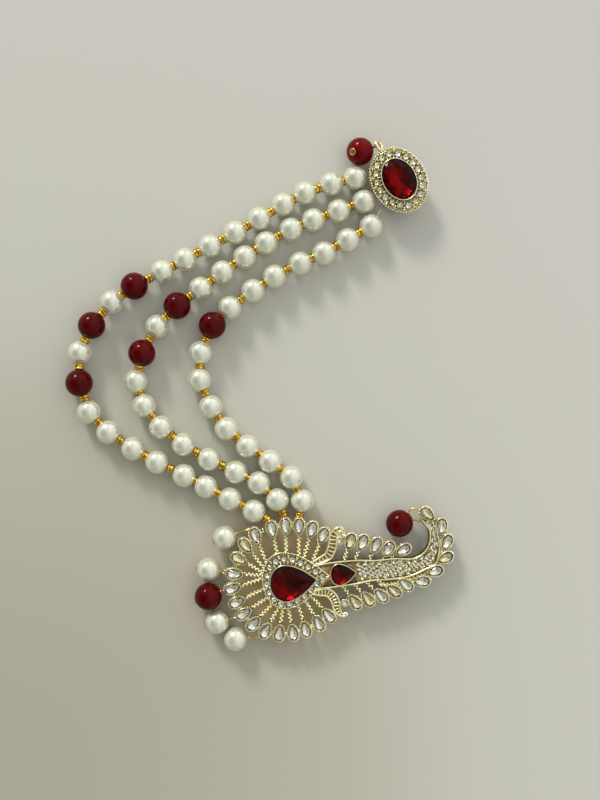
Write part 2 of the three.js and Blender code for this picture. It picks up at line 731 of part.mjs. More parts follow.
// A head pin through a bead and on to its ends, in the world
function dropWire(centre, along, radius, ends) {
  const out = centre.clone().addScaledVector(along, radius + GAP);
  const head = centre.clone().addScaledVector(along, -(radius + GAP));
  const outer = head.clone().addScaledVector(along, -HEAD_LENGTH);
  const shaft = tube([outer, head, out], [HEAD_RADIUS, WIRE_RADIUS, WIRE_RADIUS], WIRE_SIDES);
  const legs = ends.map((end) => (
    solid(tube([out.clone().addScaledVector(along, -LAP), out, end],
      [WIRE_RADIUS, WIRE_RADIUS, WIRE_RADIUS], WIRE_SIDES))
  ));
  return geometryOf(joined([solid(shaft), ...legs]));
}

// The assembled model

const kalgi = new THREE.Group();

function add(parent, name, geometry, material) {
  const mesh = new THREE.Mesh(geometry, material);
  mesh.name = name;
  parent.add(mesh);
  return mesh;
}

function addDrop(name, place, isGarnet, ends) {
  const radius = isGarnet ? GARNET_RADIUS : PEARL_RADIUS;
  const centre = new THREE.Vector3(place.x, place.y, radius);
  const middle = ends.reduce((sum, end) => sum.add(end), new THREE.Vector3()).divideScalar(ends.length);
  const along = middle.sub(centre).setZ(0).normalize();
  const bead = add(kalgi, `${name}_bead`, drilledBead(radius), isGarnet ? garnet : pearl);
  bead.position.copy(centre);
  bead.quaternion.setFromUnitVectors(new THREE.Vector3(0, 1, 0), along);
  add(kalgi, `${name}_wire`, dropWire(centre, along, radius, ends), wire);
}

function addPlume() {
  const plume = new THREE.Group();
  plume.position.set(PLUME_PLACE.x, PLUME_PLACE.y, 0);
  plume.rotation.z = PLUME_TURN;
  kalgi.add(plume);
  add(plume, "plume_setting", geometryOf(plumeSetting()), gold);
  add(plume, "plume_center_stone",
    pearStone(CENTRE_LENGTH, CENTRE_WIDTH, CENTRE_HEIGHT, CENTRE_PLACE), redStone);
  add(plume, "plume_small_stone",
    pearStone(SMALL_LENGTH, SMALL_WIDTH, SMALL_HEIGHT, tailPoint(SMALL_PLACE)), redStone);
  add(plume, "plume_pin", geometryOf(pinSolid(PLUME_PIN_LENGTH, PLUME_BACK)), pin)
    .position.set(PLUME_PIN_LENGTH / 2 - CENTRE_LENGTH / 2, HALO_CENTRE.y, 0);
}

function addButton() {
  const button = new THREE.Group();
  button.position.set(BUTTON_PLACE.x, BUTTON_PLACE.y, 0);
  button.rotation.z = BUTTON_TURN;
  kalgi.add(button);
  add(button, "button_setting", geometryOf(buttonSetting()), gold);
  add(button, "button_stone", ovalStone(), redStone);
  add(button, "button_pin", geometryOf(pinSolid(BUTTON_PIN_LENGTH, BUTTON_BACK)), pin)
    .rotation.z = Math.PI / 2;
}

function addStrands() {
  for (const [name, route] of Object.entries(STRAND_ROUTES)) {
    const { garnets, collet } = STRAND_BEADS[name];
    const beads = strandBeads(route, garnets);
    const tied = FAN_RIM[collet];
    const plumeEnd = colletEnd(tied, rimPlace(tied), 0);
    const geometry = strandGeometry(beads, threadUnderButton(beads[0].centre), plumeEnd);
    add(kalgi, `strand_${name}`, geometry, pearl);
  }
}

function addDrops() {
  for (const drop of FAN_DROPS) {
    const stone = FAN_RIM[drop.collet];
    const sides = drop.spread > 0 ? [-drop.spread, drop.spread] : [0];
    const ends = sides.map((spread) => colletEnd(stone, rimPlace(stone), spread));
    const place = offStone(stone, rimPlace(stone), drop.out, drop.aside);
    addDrop(`fan_${drop.name}`, place, drop.garnet, ends);
  }
  const tip = TAIL_LOWER[TIP_DROP.collet];
  const tipEnds = [-TIP_DROP.spread, TIP_DROP.spread].map((spread) => (
    colletEnd(tip, tailPlace(tip), spread)
  ));
  const tipPlace = offStone(tip, tailPlace(tip), TIP_DROP.out, TIP_DROP.aside);
  addDrop("tip_garnet", tipPlace, true, tipEnds);
  addDrop("button_garnet", BUTTON_DROP, true, [throughBail()]);
}

// Where the wire beside the oval brooch ends, a little past the middle of the bail
function throughBail() {
  const middle = BAIL_PLACE.clone()
    .applyAxisAngle(new THREE.Vector3(0, 0, 1), BUTTON_TURN)
    .add(new THREE.Vector3(BUTTON_PLACE.x, BUTTON_PLACE.y, 0));
  const along = new THREE.Vector3(middle.x - BUTTON_DROP.x, middle.y - BUTTON_DROP.y, 0);
  return middle.add(along.setLength(BUTTON_WIRE_PAST));
}

// The origin goes to the bottom centre of the whole
function standAtOrigin() {
  const bounds = new THREE.Box3().setFromObject(kalgi, true);
  const middle = bounds.getCenter(new THREE.Vector3());
  kalgi.position.set(-middle.x, -middle.y, -bounds.min.z);
}

addPlume();
addButton();
addStrands();
addDrops();
standAtOrigin();

export default kalgi;
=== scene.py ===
# Looks of the kalgi: pearls and garnet beads on thread, two cast brooches with foiled stones.
# Tables repeat the model's own millimetres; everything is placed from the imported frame.
import math
import random

import bpy
import numpy as np
from mathutils import Matrix, Vector


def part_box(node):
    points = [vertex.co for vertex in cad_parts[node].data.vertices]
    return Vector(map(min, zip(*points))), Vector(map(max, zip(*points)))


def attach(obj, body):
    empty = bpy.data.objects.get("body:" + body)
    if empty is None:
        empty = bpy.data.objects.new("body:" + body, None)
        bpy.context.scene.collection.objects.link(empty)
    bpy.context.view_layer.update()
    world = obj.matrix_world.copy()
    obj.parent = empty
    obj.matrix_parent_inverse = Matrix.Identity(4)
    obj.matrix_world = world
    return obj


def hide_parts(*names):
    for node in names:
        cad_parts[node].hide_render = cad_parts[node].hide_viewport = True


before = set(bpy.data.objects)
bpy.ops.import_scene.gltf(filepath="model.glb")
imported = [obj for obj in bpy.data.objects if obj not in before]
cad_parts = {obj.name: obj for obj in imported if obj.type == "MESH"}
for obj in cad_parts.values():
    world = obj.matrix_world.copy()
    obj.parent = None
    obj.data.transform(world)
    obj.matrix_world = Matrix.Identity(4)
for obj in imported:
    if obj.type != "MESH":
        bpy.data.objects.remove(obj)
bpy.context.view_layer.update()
MM = 0.001
rng = random.Random(7)

# Beads and threads, in millimetres
PEARL_RADIUS = 4.0
GARNET_RADIUS = 4.6
BEAD_HOLE = 0.5
BEAD_LIP = 0.22
BEAD_SIDES = 44
BEAD_BANDS = 26
SPACER_RADIUS = 1.63
SPACER_LENGTH = 1.95
SPACER_SIDES = 18
THREAD_RADIUS = 0.2
GAP = 0.3

# Each string: chosen beads along it, as x, y and the bead's number from the button end
STRAND_ROUTES = {
    "outer": [
        (32.0, 72.7, 0), (15.1, 67.6, 2), (-8.4, 54.3, 5), (-32.8, 41.2, 8), (-49.8, 31.0, 10),
        (-60.6, 14.1, 12), (-57.5, -5.8, 14), (-42.7, -18.2, 16), (-25.5, -27.2, 18), (-2.0, -39.2, 21),
    ],
    "middle": [
        (34.9, 64.8, 0), (10.4, 55.5, 3), (-5.1, 46.2, 5), (-20.0, 35.6, 7), (-34.6, 22.9, 9),
        (-41.7, 4.5, 11), (-33.3, -11.0, 13), (-17.1, -21.8, 15), (-0.4, -29.7, 17), (5.8, -35.4, 18),
    ],
    "inner": [
        (37.4, 56.6, 0), (21.5, 47.5, 2), (4.9, 39.7, 4), (-16.0, 23.2, 7), (-20.3, 4.9, 9),
        (-11.3, -11.5, 11), (-4.2, -17.4, 12), (10.5, -27.8, 14), (14.2, -35.8, 15),
    ],
}
# Numbers of the red beads, and the fan collet that each string is tied to
STRAND_GARNETS = {"outer": (9, 11, 13), "middle": (8, 10), "inner": (7,)}
STRAND_COLLETS = {"outer": 4, "middle": 3, "inner": 2}

# Plume, in its own plan
PLUME_PLACE = (10.95, -62.9)
PLUME_TURN = math.radians(7.5)
PLUME_BACK = 3.7
# Height at which threads and wires are tied to the collets
TIE_HEIGHT = PLUME_BACK + 1.1
PLATE = 1.9
FAN_RADIUS = 18.2
FAN_CENTRE = (-1.5, 1.25)
TAIL_LENGTH = 52.8
COLLET_LENGTH = 6.0
COLLET_WIDTH = 4.0
COLLET_WALL = 0.36
COLLET_RISE = 3.0
COLLET_BLUNT = 0.5
GRAIN_RADIUS = 0.27
# Turn about the fan's centre, reach as a share of its radius, way the stone's point looks
FAN_RIM = [
    (43.8, 1.037, -119), (56.7, 1.021, -113), (70.4, 1.0, -98), (84.8, 0.979, -96), (99.8, 0.973, -86),
    (118.6, 0.998, -76), (133.5, 0.989, -59), (149.5, 0.969, -38), (166.2, 0.979, -12), (181.7, 1.022, 10),
    (196.5, 1.014, 18), (210.0, 1.016, 25), (224.7, 1.021, 38), (239.2, 1.02, 53), (253.6, 0.994, 74),
    (268.4, 0.975, 94), (282.4, 0.97, 100), (297.8, 0.979, 113), (311.3, 0.998, 125),
]
# Place as shares of the tail's length, way the stone's point looks
TAIL_UPPER = [
    (0.396, 0.212, -115), (0.472, 0.195, -121), (0.553, 0.165, -121), (0.629, 0.133, -128),
    (0.72, 0.114, -155),
]
TAIL_LOWER = [
    (0.375, -0.172, 121), (0.458, -0.165, 125), (0.545, -0.153, 131), (0.629, -0.134, 140),
    (0.708, -0.104, 138), (0.811, -0.098, 178), (0.903, -0.045, -169), (0.979, 0.03, -157),
    (1.0, 0.127, -121), (0.983, 0.231, -98), (0.903, 0.32, -52),
]
# Places as shares of the tail's length
RAIL_UPPER = [
    (0.142, 0.087), (0.25, 0.092), (0.411, 0.087), (0.54, 0.07), (0.669, 0.066), (0.773, 0.051),
    (0.837, 0.072), (0.881, 0.115), (0.9, 0.161), (0.903, 0.216), (0.881, 0.258), (0.86, 0.292),
]
RAIL_LOWER = [
    (0.133, -0.057), (0.271, -0.061), (0.392, -0.059), (0.508, -0.051), (0.619, -0.058), (0.739, -0.055),
    (0.843, -0.025), (0.911, 0.002), (0.939, 0.059), (0.951, 0.123), (0.947, 0.199), (0.925, 0.27),
]
COLLAR_UPPER = [
    (0.142, 0.104), (0.206, 0.121), (0.248, 0.142), (0.275, 0.188), (0.286, 0.227), (0.297, 0.265),
    (0.328, 0.294), (0.356, 0.29), (0.358, 0.252),
]
COLLAR_LOWER = [
    (0.117, -0.08), (0.172, -0.085), (0.212, -0.091), (0.241, -0.123), (0.254, -0.161), (0.256, -0.195),
    (0.265, -0.223), (0.288, -0.246), (0.311, -0.241),
]
SIDE_STONES = [(0.33, 0.224), (0.311, -0.17)]
TIE_WIRE = [(0.252, 0.038), (0.176, -0.053)]
HALO_CENTRE = (1.1, 1.05)
HALO_LENGTH = 22.4
HALO_WIDTH = 19.1
HALO_STONES = 18
ROUND_RADIUS = 1.2
PAVE_RADIUS = 0.76
PAVE_PITCH = 1.56
PAVE_START = 0.28
PAVE_ROWS = 31
CENTRE_LENGTH = 15.2
CENTRE_WIDTH = 11.6
CENTRE_PLACE = (0.3, 0.1)
SMALL_LENGTH = 8.2
SMALL_WIDTH = 6.6
SMALL_PLACE = (0.326, 0.012)
BEZEL_WALL = 0.85
RAIL_STEPS = 90
BAR_RADIUS = 0.4
SPOKE_GRAIN = 0.5
SPOKE_STEP = 0.66
SPOKE_SWAY = 0.28
LONGEST_SPOKE = 14.0
LINK_GRAIN = 0.4
# The square setting that has lost its stone, in the whole part's plan
EMPTY_PLACE = (26.3, -46.6)
EMPTY_TURN = math.radians(20)
# Share of the clear stones whose foil has yellowed, on the plume and on the oval brooch
YELLOWED = 0.14
BUTTON_YELLOWED = 0.6

# Oval brooch
BUTTON_PLACE = (46.35, 71.35)
BUTTON_TURN = math.radians(29.5)
BUTTON_LENGTH = 23.2
BUTTON_WIDTH = 18.9
BUTTON_BACK = 5.6
BUTTON_PLATE = 1.8
BUTTON_STONES = 18
BUTTON_ROUND = 1.25
ROPE_TURNS = 70
OVAL_LENGTH = 14.0
OVAL_WIDTH = 10.4
BAIL_RADIUS = 1.75
BAIL_WIRE = 0.58
BAIL_LEAN = 0.55
BAIL_PLACE = (0, BUTTON_LENGTH / 2 + BAIL_RADIUS, BUTTON_BACK + BUTTON_PLATE / 2)

# Drops: name, red or pearl, the rim collet it hangs on, half the spread of its two wires
FAN_DROPS = [
    ("pearl_1", False, 5, 0.0), ("pearl_2", False, 8, 0.9), ("garnet", True, 9, 0.0),
    ("pearl_3", False, 11, 0.0), ("pearl_4", False, 13, 0.0),
]
FIRST_DROP_PLACE = (-11.8, -48.05)
TIP_LEAN = (0.575, 0.818, 0.0)
# The two wires between the tip's bead and its collet: a point on the way and the end
TIP_WIRES = [((51.2, -38.2, 5.2), (54.3, -37.9, 4.9)), ((50.9, -42.5, 3.6), (54.8, -42.5, 4.6))]
BUTTON_LEAN = (0.6, 0.2, -0.77)
WIRE_RADIUS = 0.33

# Camera: straight above the photograph's middle
CAMERA_HEIGHT = 350.0
CAMERA_PLACE = (13.44, -1.85)
CAMERA_LENS = 46.34

# Light: the way to it, its width in degrees, its strength and the room's
LIGHT_WAY = (-0.366, 0.821, 0.438)
LIGHT_WIDTH = 13
KEY_STRENGTH = 1.6
WORLD_STRENGTH = 0.92
# The room: from left to right, from near to far, round its dark spot and round the light
ROOM_SIDES = [
    (0.0, (0.70, 0.71, 0.66)), (0.3, (0.60, 0.61, 0.56)), (0.58, (0.60, 0.61, 0.56)),
    (0.61, (1.02, 1.02, 0.98)), (1.0, (0.90, 0.90, 0.86)),
]
ROOM_ENDS = [
    (0.0, (0.72, 0.70, 0.66)), (0.5, (1.0, 1.0, 1.0)), (0.75, (1.2, 1.2, 1.2)), (1.0, (1.5, 1.5, 1.48)),
]
DARK_WAY = (-0.6, -0.1, 0.79)
ROOM_DARK = [
    (0.14, (0.42, 0.43, 0.38)), (0.26, (0.16, 0.17, 0.13)), (0.42, (0.18, 0.19, 0.14)),
    (0.52, (1.0, 1.0, 1.0)),
]
ROOM_GLOW = [(0.16, (1.0, 1.0, 0.96)), (0.34, (0.0, 0.0, 0.0))]

# Surface, in metres: half its width, its painted shade, darker by distance towards its dim corner, and the
# painted warm light that the gold throws on it by distance from the fan's centre
FLOOR_HALF = 1.2
DIM_CORNER = (-0.09, -0.13, 0)
FLOOR_PAINTED_SHADE = [
    (0.02, (0.45, 0.43, 0.355)), (0.07, (0.485, 0.458, 0.40)), (0.12, (0.54, 0.515, 0.453)),
    (0.16, (0.61, 0.602, 0.555)), (0.2, (0.64, 0.63, 0.592)), (0.26, (0.66, 0.648, 0.615)),
]
FLOOR_PAINTED_WARM_LIGHT = [(0.0155, (1.40, 1.17, 0.78)), (0.0195, (1.12, 1.10, 1.02)), (0.04, (1.0, 1.0, 1.0))]

# From the tables' plan to the frame, in metres, found at one bead
low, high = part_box("fan_pearl_1_bead")
SHIFT = (low + high) / 2 - Vector((*FIRST_DROP_PLACE, PEARL_RADIUS)) * MM


# Geometry: small closed bodies gathered into meshes

class Pile:
    """Vertices and faces of many closed bodies, gathered for one mesh."""

    def __init__(self):
        self.points = []
        self.faces = []
        self.marks = []
        self.count = 0

    def add(self, body, matrix=None, mark=0):
        points, faces = body[:2]
        marks = body[2] if len(body) > 2 else [mark] * len(faces)
        points = np.asarray(points, float)
        if matrix is not None:
            turn = np.array(matrix.to_3x3())
            points = points @ turn.T + np.array(matrix.translation)
        self.points.append(points)
        self.faces += [tuple(i + self.count for i in face) for face in faces]
        self.marks += marks
        self.count += len(points)


def make(name, pile, materials, replaces=(), sharp=None, flat=False):
    """One Blender object from a pile in world millimetres."""
    mesh = bpy.data.meshes.new(name)
    points = np.concatenate(pile.points) * MM + np.array(SHIFT)
    mesh.from_pydata(points.tolist(), [], pile.faces)
    for look in materials:
        mesh.materials.append(look)
    mesh.polygons.foreach_set("material_index", pile.marks)
    mesh.polygons.foreach_set("use_smooth", [not flat] * len(mesh.polygons))
    if sharp is not None:
        mesh.set_sharp_from_angle(angle=math.radians(sharp))
    mesh.update()
    piece = bpy.data.objects.new(name, mesh)
    bpy.context.scene.collection.objects.link(piece)
    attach(piece, "root")
    if replaces:
        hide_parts(*replaces)


def loft(rings, closed=False):
    """A closed body through rings of points; closed joins the last ring to the first."""
    count = len(rings[0])
    points = np.concatenate(rings)
    faces = []
    bands = len(rings) if closed else len(rings) - 1
    total = len(points)
    for row in range(bands):
        for k in range(count):
            a = row * count + k
            b = row * count + (k + 1) % count
            faces.append((a, b, (b + count) % total, (a + count) % total))
    if not closed:
        faces.append(tuple(reversed(range(count))))
        faces.append(tuple(range(total - count, total)))
    return points, faces


def turns_round(count):
    return np.arange(count) * 2 * math.pi / count


def lathe(profile, sides):
    """A closed profile of (along x, radius) turned about x."""
    circle = np.stack([np.cos(turns_round(sides)), np.sin(turns_round(sides))], 1)
    rings = [np.column_stack([np.full(sides, along), radius * circle]) for along, radius in profile]
    return loft(rings, closed=True)


def ball(radii, sides, bands):
    """A closed ellipsoid with poles on z."""
    points = [(0, 0, -radii[2])]
    for row in range(1, bands):
        lift = math.pi * row / bands
        for k in range(sides):
            angle = 2 * math.pi * k / sides
            points.append((
                radii[0] * math.sin(lift) * math.cos(angle),
                radii[1] * math.sin(lift) * math.sin(angle),
                -radii[2] * math.cos(lift),
            ))
    points.append((0, 0, radii[2]))
    faces = [(0, 1 + (k + 1) % sides, 1 + k) for k in range(sides)]
    for row in range(bands - 2):
        for k in range(sides):
            a = 1 + row * sides + k
            b = 1 + row * sides + (k + 1) % sides
            faces.append((a, b, b + sides, a + sides))
    top = len(points) - 1
    last = 1 + (bands - 2) * sides
    faces += [(top, last + k, last + (k + 1) % sides) for k in range(sides)]
    return points, faces


def tube(points, radius, sides=8, closed=False):
    """A round tube along 3D points, its frame carried without twist."""
    points = [Vector(p) for p in points]
    count = len(points)
    rings = []
    side = None
    for k, point in enumerate(points):
        before = points[(k - 1) % count] if closed else points[max(k - 1, 0)]
        after = points[(k + 1) % count] if closed else points[min(k + 1, count - 1)]
        along = (after - before).normalized()
        if side is None:
            side = along.orthogonal().normalized()
        side = (side - along * side.dot(along)).normalized()
        up = along.cross(side)
        rings.append(np.array([
            point + radius * (math.cos(a) * side + math.sin(a) * up)
            for a in turns_round(sides)
        ]))
    return loft(rings, closed)


def pear_side(angle, blunt):
    """How wide a pear is, as a share of its half width; the less blunt counts, the sharper its point."""
    fullest = 2 * ((1 + blunt) / (2 + blunt)) ** ((1 + blunt) / 2) / math.sqrt(2 + blunt)
    return np.sin(angle) * np.sin(angle / 2) ** blunt / fullest


def pear(length, width, sides, inset=0.0, blunt=1.0):
    """The outline of a pear with its point on +x."""
    angles = turns_round(sides)
    long, wide = length / 2 - inset, width / 2 - inset
    return np.stack([long * np.cos(angles), wide * pear_side(angles, blunt)], 1)


def oval(length, width, sides, inset=0.0):
    angles = turns_round(sides)
    return np.stack([(width / 2 - inset) * np.cos(angles), (length / 2 - inset) * np.sin(angles)], 1)


def even(outline, count):
    """Points at even steps round a closed outline, with the way the outline runs at each."""
    outline = np.asarray(outline)
    loop = np.vstack([outline, outline[:1]])
    steps = np.hypot(*np.diff(loop, axis=0).T)
    run = np.concatenate([[0], np.cumsum(steps)])
    places = []
    for k in range(count):
        at = run[-1] * k / count
        i = min(int(np.searchsorted(run, at, side="right")) - 1, len(steps) - 1)
        share = (at - run[i]) / steps[i]
        along = loop[i + 1] - loop[i]
        places.append((loop[i] + share * along, math.atan2(along[1], along[0])))
    return places


def catmull(points, steps):
    """A smooth plane curve through points, at even steps along it."""
    points = np.asarray(points, float)
    ends = np.vstack([2 * points[0] - points[1], points, 2 * points[-1] - points[-2]])
    dense = []
    for j in range(len(points) - 1):
        for t in np.linspace(0, 1, 24, endpoint=False):
            dense.append(spline_point(ends[j:j + 4], t))
    dense.append(points[-1])
    dense = np.array(dense)
    run = np.concatenate([[0], np.cumsum(np.hypot(*np.diff(dense, axis=0).T))])
    at = np.linspace(0, run[-1], steps + 1)
    return np.stack([np.interp(at, run, dense[:, 0]), np.interp(at, run, dense[:, 1])], 1)


def spline_point(four, t):
    start, end = 0.5 * (four[2] - four[0]), 0.5 * (four[3] - four[1])
    square = -3 * four[1] + 3 * four[2] - 2 * start - end
    cube = 2 * four[1] - 2 * four[2] + start + end
    return four[1] + start * t + square * t * t + cube * t ** 3


def normals(curve):
    """Unit left-hand normals along a plane curve."""
    along = np.gradient(curve, axis=0)
    along /= np.hypot(*along.T)[:, None]
    return np.stack([-along[:, 1], along[:, 0]], 1)


def band(curve, section):
    """A closed bar along a curve on the plume's back; its section is (across, height) turning left."""
    rings = []
    for point, across in zip(curve, normals(curve)):
        rings.append(np.array([(*(point - across * a), PLUME_BACK + z) for a, z in section]))
    return loft(rings)


def lifted(outline, z):
    return np.column_stack([outline, np.full(len(outline), z)])


def stack(outline_at, profile, closed=False):
    """A closed body on the plume's back, of outlines by their inset and height."""
    return loft([lifted(outline_at(inset), PLUME_BACK + z) for inset, z in profile], closed)


def wire_round(outline, z, radius):
    """A closed wire along a plane outline."""
    return tube(lifted(outline, z), radius, 10, closed=True)


def place(x, y, z=0.0, turn=0.0):
    return Matrix.Translation((x, y, z)) @ Matrix.Rotation(turn, 4, "Z")


def tail_point(share):
    return np.array(share[:2]) * TAIL_LENGTH


def heading(degrees):
    return np.array([math.cos(math.radians(degrees)), math.sin(math.radians(degrees))])


PLUME = place(*PLUME_PLACE, 0, PLUME_TURN)
BUTTON = place(*BUTTON_PLACE, 0, BUTTON_TURN)


# Cut stones: crown faces are glass (mark 0), pavilion faces are foil (1), or yellowed foil (3), and the
# faces under the edge are dark foil as painted shade (2)

def cut_stone(outline_at, fold, table, crown, depth, girdle=0.12, waist=0.74):
    """A brilliant: outline_at(turn, share) gives the plane point at a share of the girdle."""
    def ring(count, offset, share, z):
        return [(*outline_at((k + offset) / count, share), z) for k in range(count)]
    points = ring(fold, 0, table, crown)
    points += ring(fold, 0.5, (1 + table) / 2, 0.58 * crown)
    points += ring(2 * fold, 0, 1, 0)
    points += ring(2 * fold, 0, 1, -girdle)
    points += ring(fold, 0.5, waist, -girdle - (1 - waist) * 1.25 * depth)
    points.append((*outline_at(0, 0), -girdle - depth))
    star, top, under, main = fold, 2 * fold, 4 * fold, 6 * fold
    culet = 7 * fold
    faces, marks = [tuple(range(fold))], [0]
    for k in range(fold):
        n, b = (k + 1) % fold, (k - 1) % fold
        middle, after = top + 2 * k + 1, top + (2 * k + 2) % (2 * fold)
        faces += [
            (k, star + k, n),
            (k, star + b, top + 2 * k, star + k),
            (star + k, top + 2 * k, middle),
            (star + k, middle, after),
            (top + 2 * k, under + 2 * k, under + 2 * k + 1, middle),
            (middle, under + 2 * k + 1, under + (2 * k + 2) % (2 * fold), after),
            (under + 2 * k, main + k, under + 2 * k + 1),
            (under + 2 * k + 1, main + k, under + (2 * k + 2) % (2 * fold)),
            (under + 2 * k, main + b, main + k),
            (main + b, culet, main + k),
        ]
        marks += [0, 0, 0, 0, 0, 0, 2, 2, 1, 1]
    return points, faces, marks


def foiled(stone, yellowed):
    """The stone with its foil, which has yellowed on a share of the stones."""
    foil = 3 if rng.random() < yellowed else 1
    return stone[0], stone[1], [foil if mark == 1 else mark for mark in stone[2]]


def tilt(most):
    """A small lean to a side picked by chance."""
    lean = Matrix.Rotation(math.radians(rng.uniform(-most, most)), 4, "X")
    return lean @ Matrix.Rotation(math.radians(rng.uniform(-most, most)), 4, "Y")


def pear_at(length, width, blunt=1.0):
    """The girdle of a pear stone, point first, shrunk about the middle of its round end."""
    heart = -0.12 * length * blunt

    def outline_at(turn, share):
        angle = 2 * math.pi * (turn % 1)
        x = length / 2 * math.cos(angle)
        y = width / 2 * pear_side(angle, blunt)
        return heart + share * (x - heart), share * y
    return outline_at


def oval_at(length, width):
    def outline_at(turn, share):
        angle = 2 * math.pi * turn
        return share * width / 2 * math.cos(angle), share * length / 2 * math.sin(angle)
    return outline_at


# Materials

def material(name, **values):
    """A Principled material; returns it with its node tree and shader."""
    made = bpy.data.materials.new(name)
    made.use_nodes = True
    shader = made.node_tree.nodes["Principled BSDF"]
    for key, value in values.items():
        shader.inputs[key.replace("_", " ")].default_value = value
    return made, made.node_tree, shader


def node(tree, kind, **values):
    made = tree.nodes.new(kind)
    for key, value in values.items():
        if key in made.inputs:
            made.inputs[key].default_value = value
        else:
            setattr(made, key, value)
    return made


def noise(tree, scale, detail):
    """A noise over the object's own coordinates."""
    where = tree.nodes.new("ShaderNodeTexCoord")
    made = node(tree, "ShaderNodeTexNoise", Scale=scale, Detail=detail)
    tree.links.new(where.outputs["Object"], made.inputs["Vector"])
    return made.outputs["Fac"]


def ramp(tree, source, stops):
    made = tree.nodes.new("ShaderNodeValToRGB")
    elements = made.color_ramp.elements
    while len(elements) < len(stops):
        elements.new(0.5)
    for element, (position, color) in zip(elements, stops):
        element.position = position
        element.color = (*color, 1.0)
    tree.links.new(source, made.inputs["Fac"])
    return made.outputs["Color"]


def mixed(tree, blend, first, second):
    """Two colours, one multiplied by or added to the other."""
    made = node(tree, "ShaderNodeMix", data_type="RGBA", blend_type=blend)
    made.inputs["Factor"].default_value = 1.0
    tree.links.new(first, made.inputs["A"])
    tree.links.new(second, made.inputs["B"])
    return made.outputs["Result"]


def far_from(tree, where, point):
    made = node(tree, "ShaderNodeVectorMath", operation="DISTANCE")
    made.inputs[1].default_value = point
    tree.links.new(where, made.inputs[0])
    return made.outputs["Value"]


def paint(tree, shader, source, stops, socket="Base Color"):
    """A ramp over a source, linked to a socket of the shader."""
    tree.links.new(ramp(tree, source, stops), shader.inputs[socket])


def bump(tree, shader, source, strength, distance):
    made = node(tree, "ShaderNodeBump", Strength=strength, Distance=distance)
    tree.links.new(source, made.inputs["Height"])
    tree.links.new(made.outputs["Normal"], shader.inputs["Normal"])


def gold_material(name, pale, deep, roughness, grain):
    made, tree, shader = material(name, Metallic=1.0)
    paint(tree, shader, noise(tree, 420.0, 5.0), [(0.38, deep), (0.56, pale)])
    wear = [(0.35, (roughness * 0.6,) * 3), (0.7, (roughness * 1.5,) * 3)]
    paint(tree, shader, noise(tree, 900.0, 3.0), wear, "Roughness")
    bump(tree, shader, noise(tree, 2600.0, 2.0), grain, 0.00004)
    return made


def pearl_material():
    made, tree, shader = material(
        "pearl_lustre", Roughness=0.17, Metallic=0.46, Coat_Weight=0.28, Coat_Roughness=0.03,
        Subsurface_Weight=0.1, Subsurface_Scale=0.001, Subsurface_Radius=(1.0, 0.8, 0.6))
    # Colour by facing: the nacre's greenish tint, darker and yellower at the rim as painted shade and painted
    # table reflection
    face = node(tree, "ShaderNodeLayerWeight", Blend=0.42)
    tint = ramp(tree, face.outputs["Facing"], [
        (0.0, (0.81, 0.84, 0.72)), (0.35, (0.82, 0.84, 0.70)),
        (0.7, (0.82, 0.82, 0.63)), (1.0, (0.74, 0.72, 0.50)),
    ])
    haze = ramp(tree, noise(tree, 260.0, 3.0), [(0.3, (0.94, 0.92, 0.95)), (0.7, (1.0, 1.0, 0.97))])
    tree.links.new(mixed(tree, "MULTIPLY", tint, haze), shader.inputs["Base Color"])
    bump(tree, shader, noise(tree, 700.0, 3.0), 0.12, 0.0001)
    return made


def garnet_material(name, deep, bright):
    made, tree, shader = material(name, Roughness=0.03, IOR=1.22, Transmission_Weight=0.35)
    paint(tree, shader, noise(tree, 190.0, 4.0), [(0.3, (deep, 0.0, 0.0)), (0.62, (bright, 0.0, 0.001))])
    bump(tree, shader, noise(tree, 500.0, 2.0), 0.05, 0.0001)
    return made


def glass_material(name, color, veil, index):
    made, tree, shader = material(name, Roughness=0.02, IOR=index, Transmission_Weight=1.0)
    paint(tree, shader, noise(tree, 600.0, 2.0), [(0.3, veil), (0.7, color)])
    return made


def foil_material(name, bright, dull, roughness, metal=1.0, patches=800.0):
    made, tree, shader = material(name, Metallic=metal, Roughness=roughness)
    paint(tree, shader, noise(tree, patches, 3.0), [(0.35, dull), (0.6, bright)])
    return made


def seed_material():
    made, tree, shader = material(
        "seed_amber", Roughness=0.16, IOR=1.5, Metallic=0.85, Coat_Weight=0.6, Coat_Roughness=0.05)
    lining = [(0.4, (0.42, 0.19, 0.006)), (0.58, (0.86, 0.56, 0.05))]
    paint(tree, shader, noise(tree, 1100.0, 2.0), lining)
    return made


def thread_material(name, color):
    made, tree, shader = material(name, Roughness=0.4, Transmission_Weight=0.3)
    twist = noise(tree, 3000.0, 2.0)
    dark = tuple(0.8 * c for c in color)
    paint(tree, shader, twist, [(0.35, dark), (0.65, color)])
    bump(tree, shader, twist, 0.3, 0.00005)
    return made


GOLD = gold_material("pale_gold", (1.0, 0.965, 0.71), (0.99, 0.88, 0.45), 0.25, 0.12)
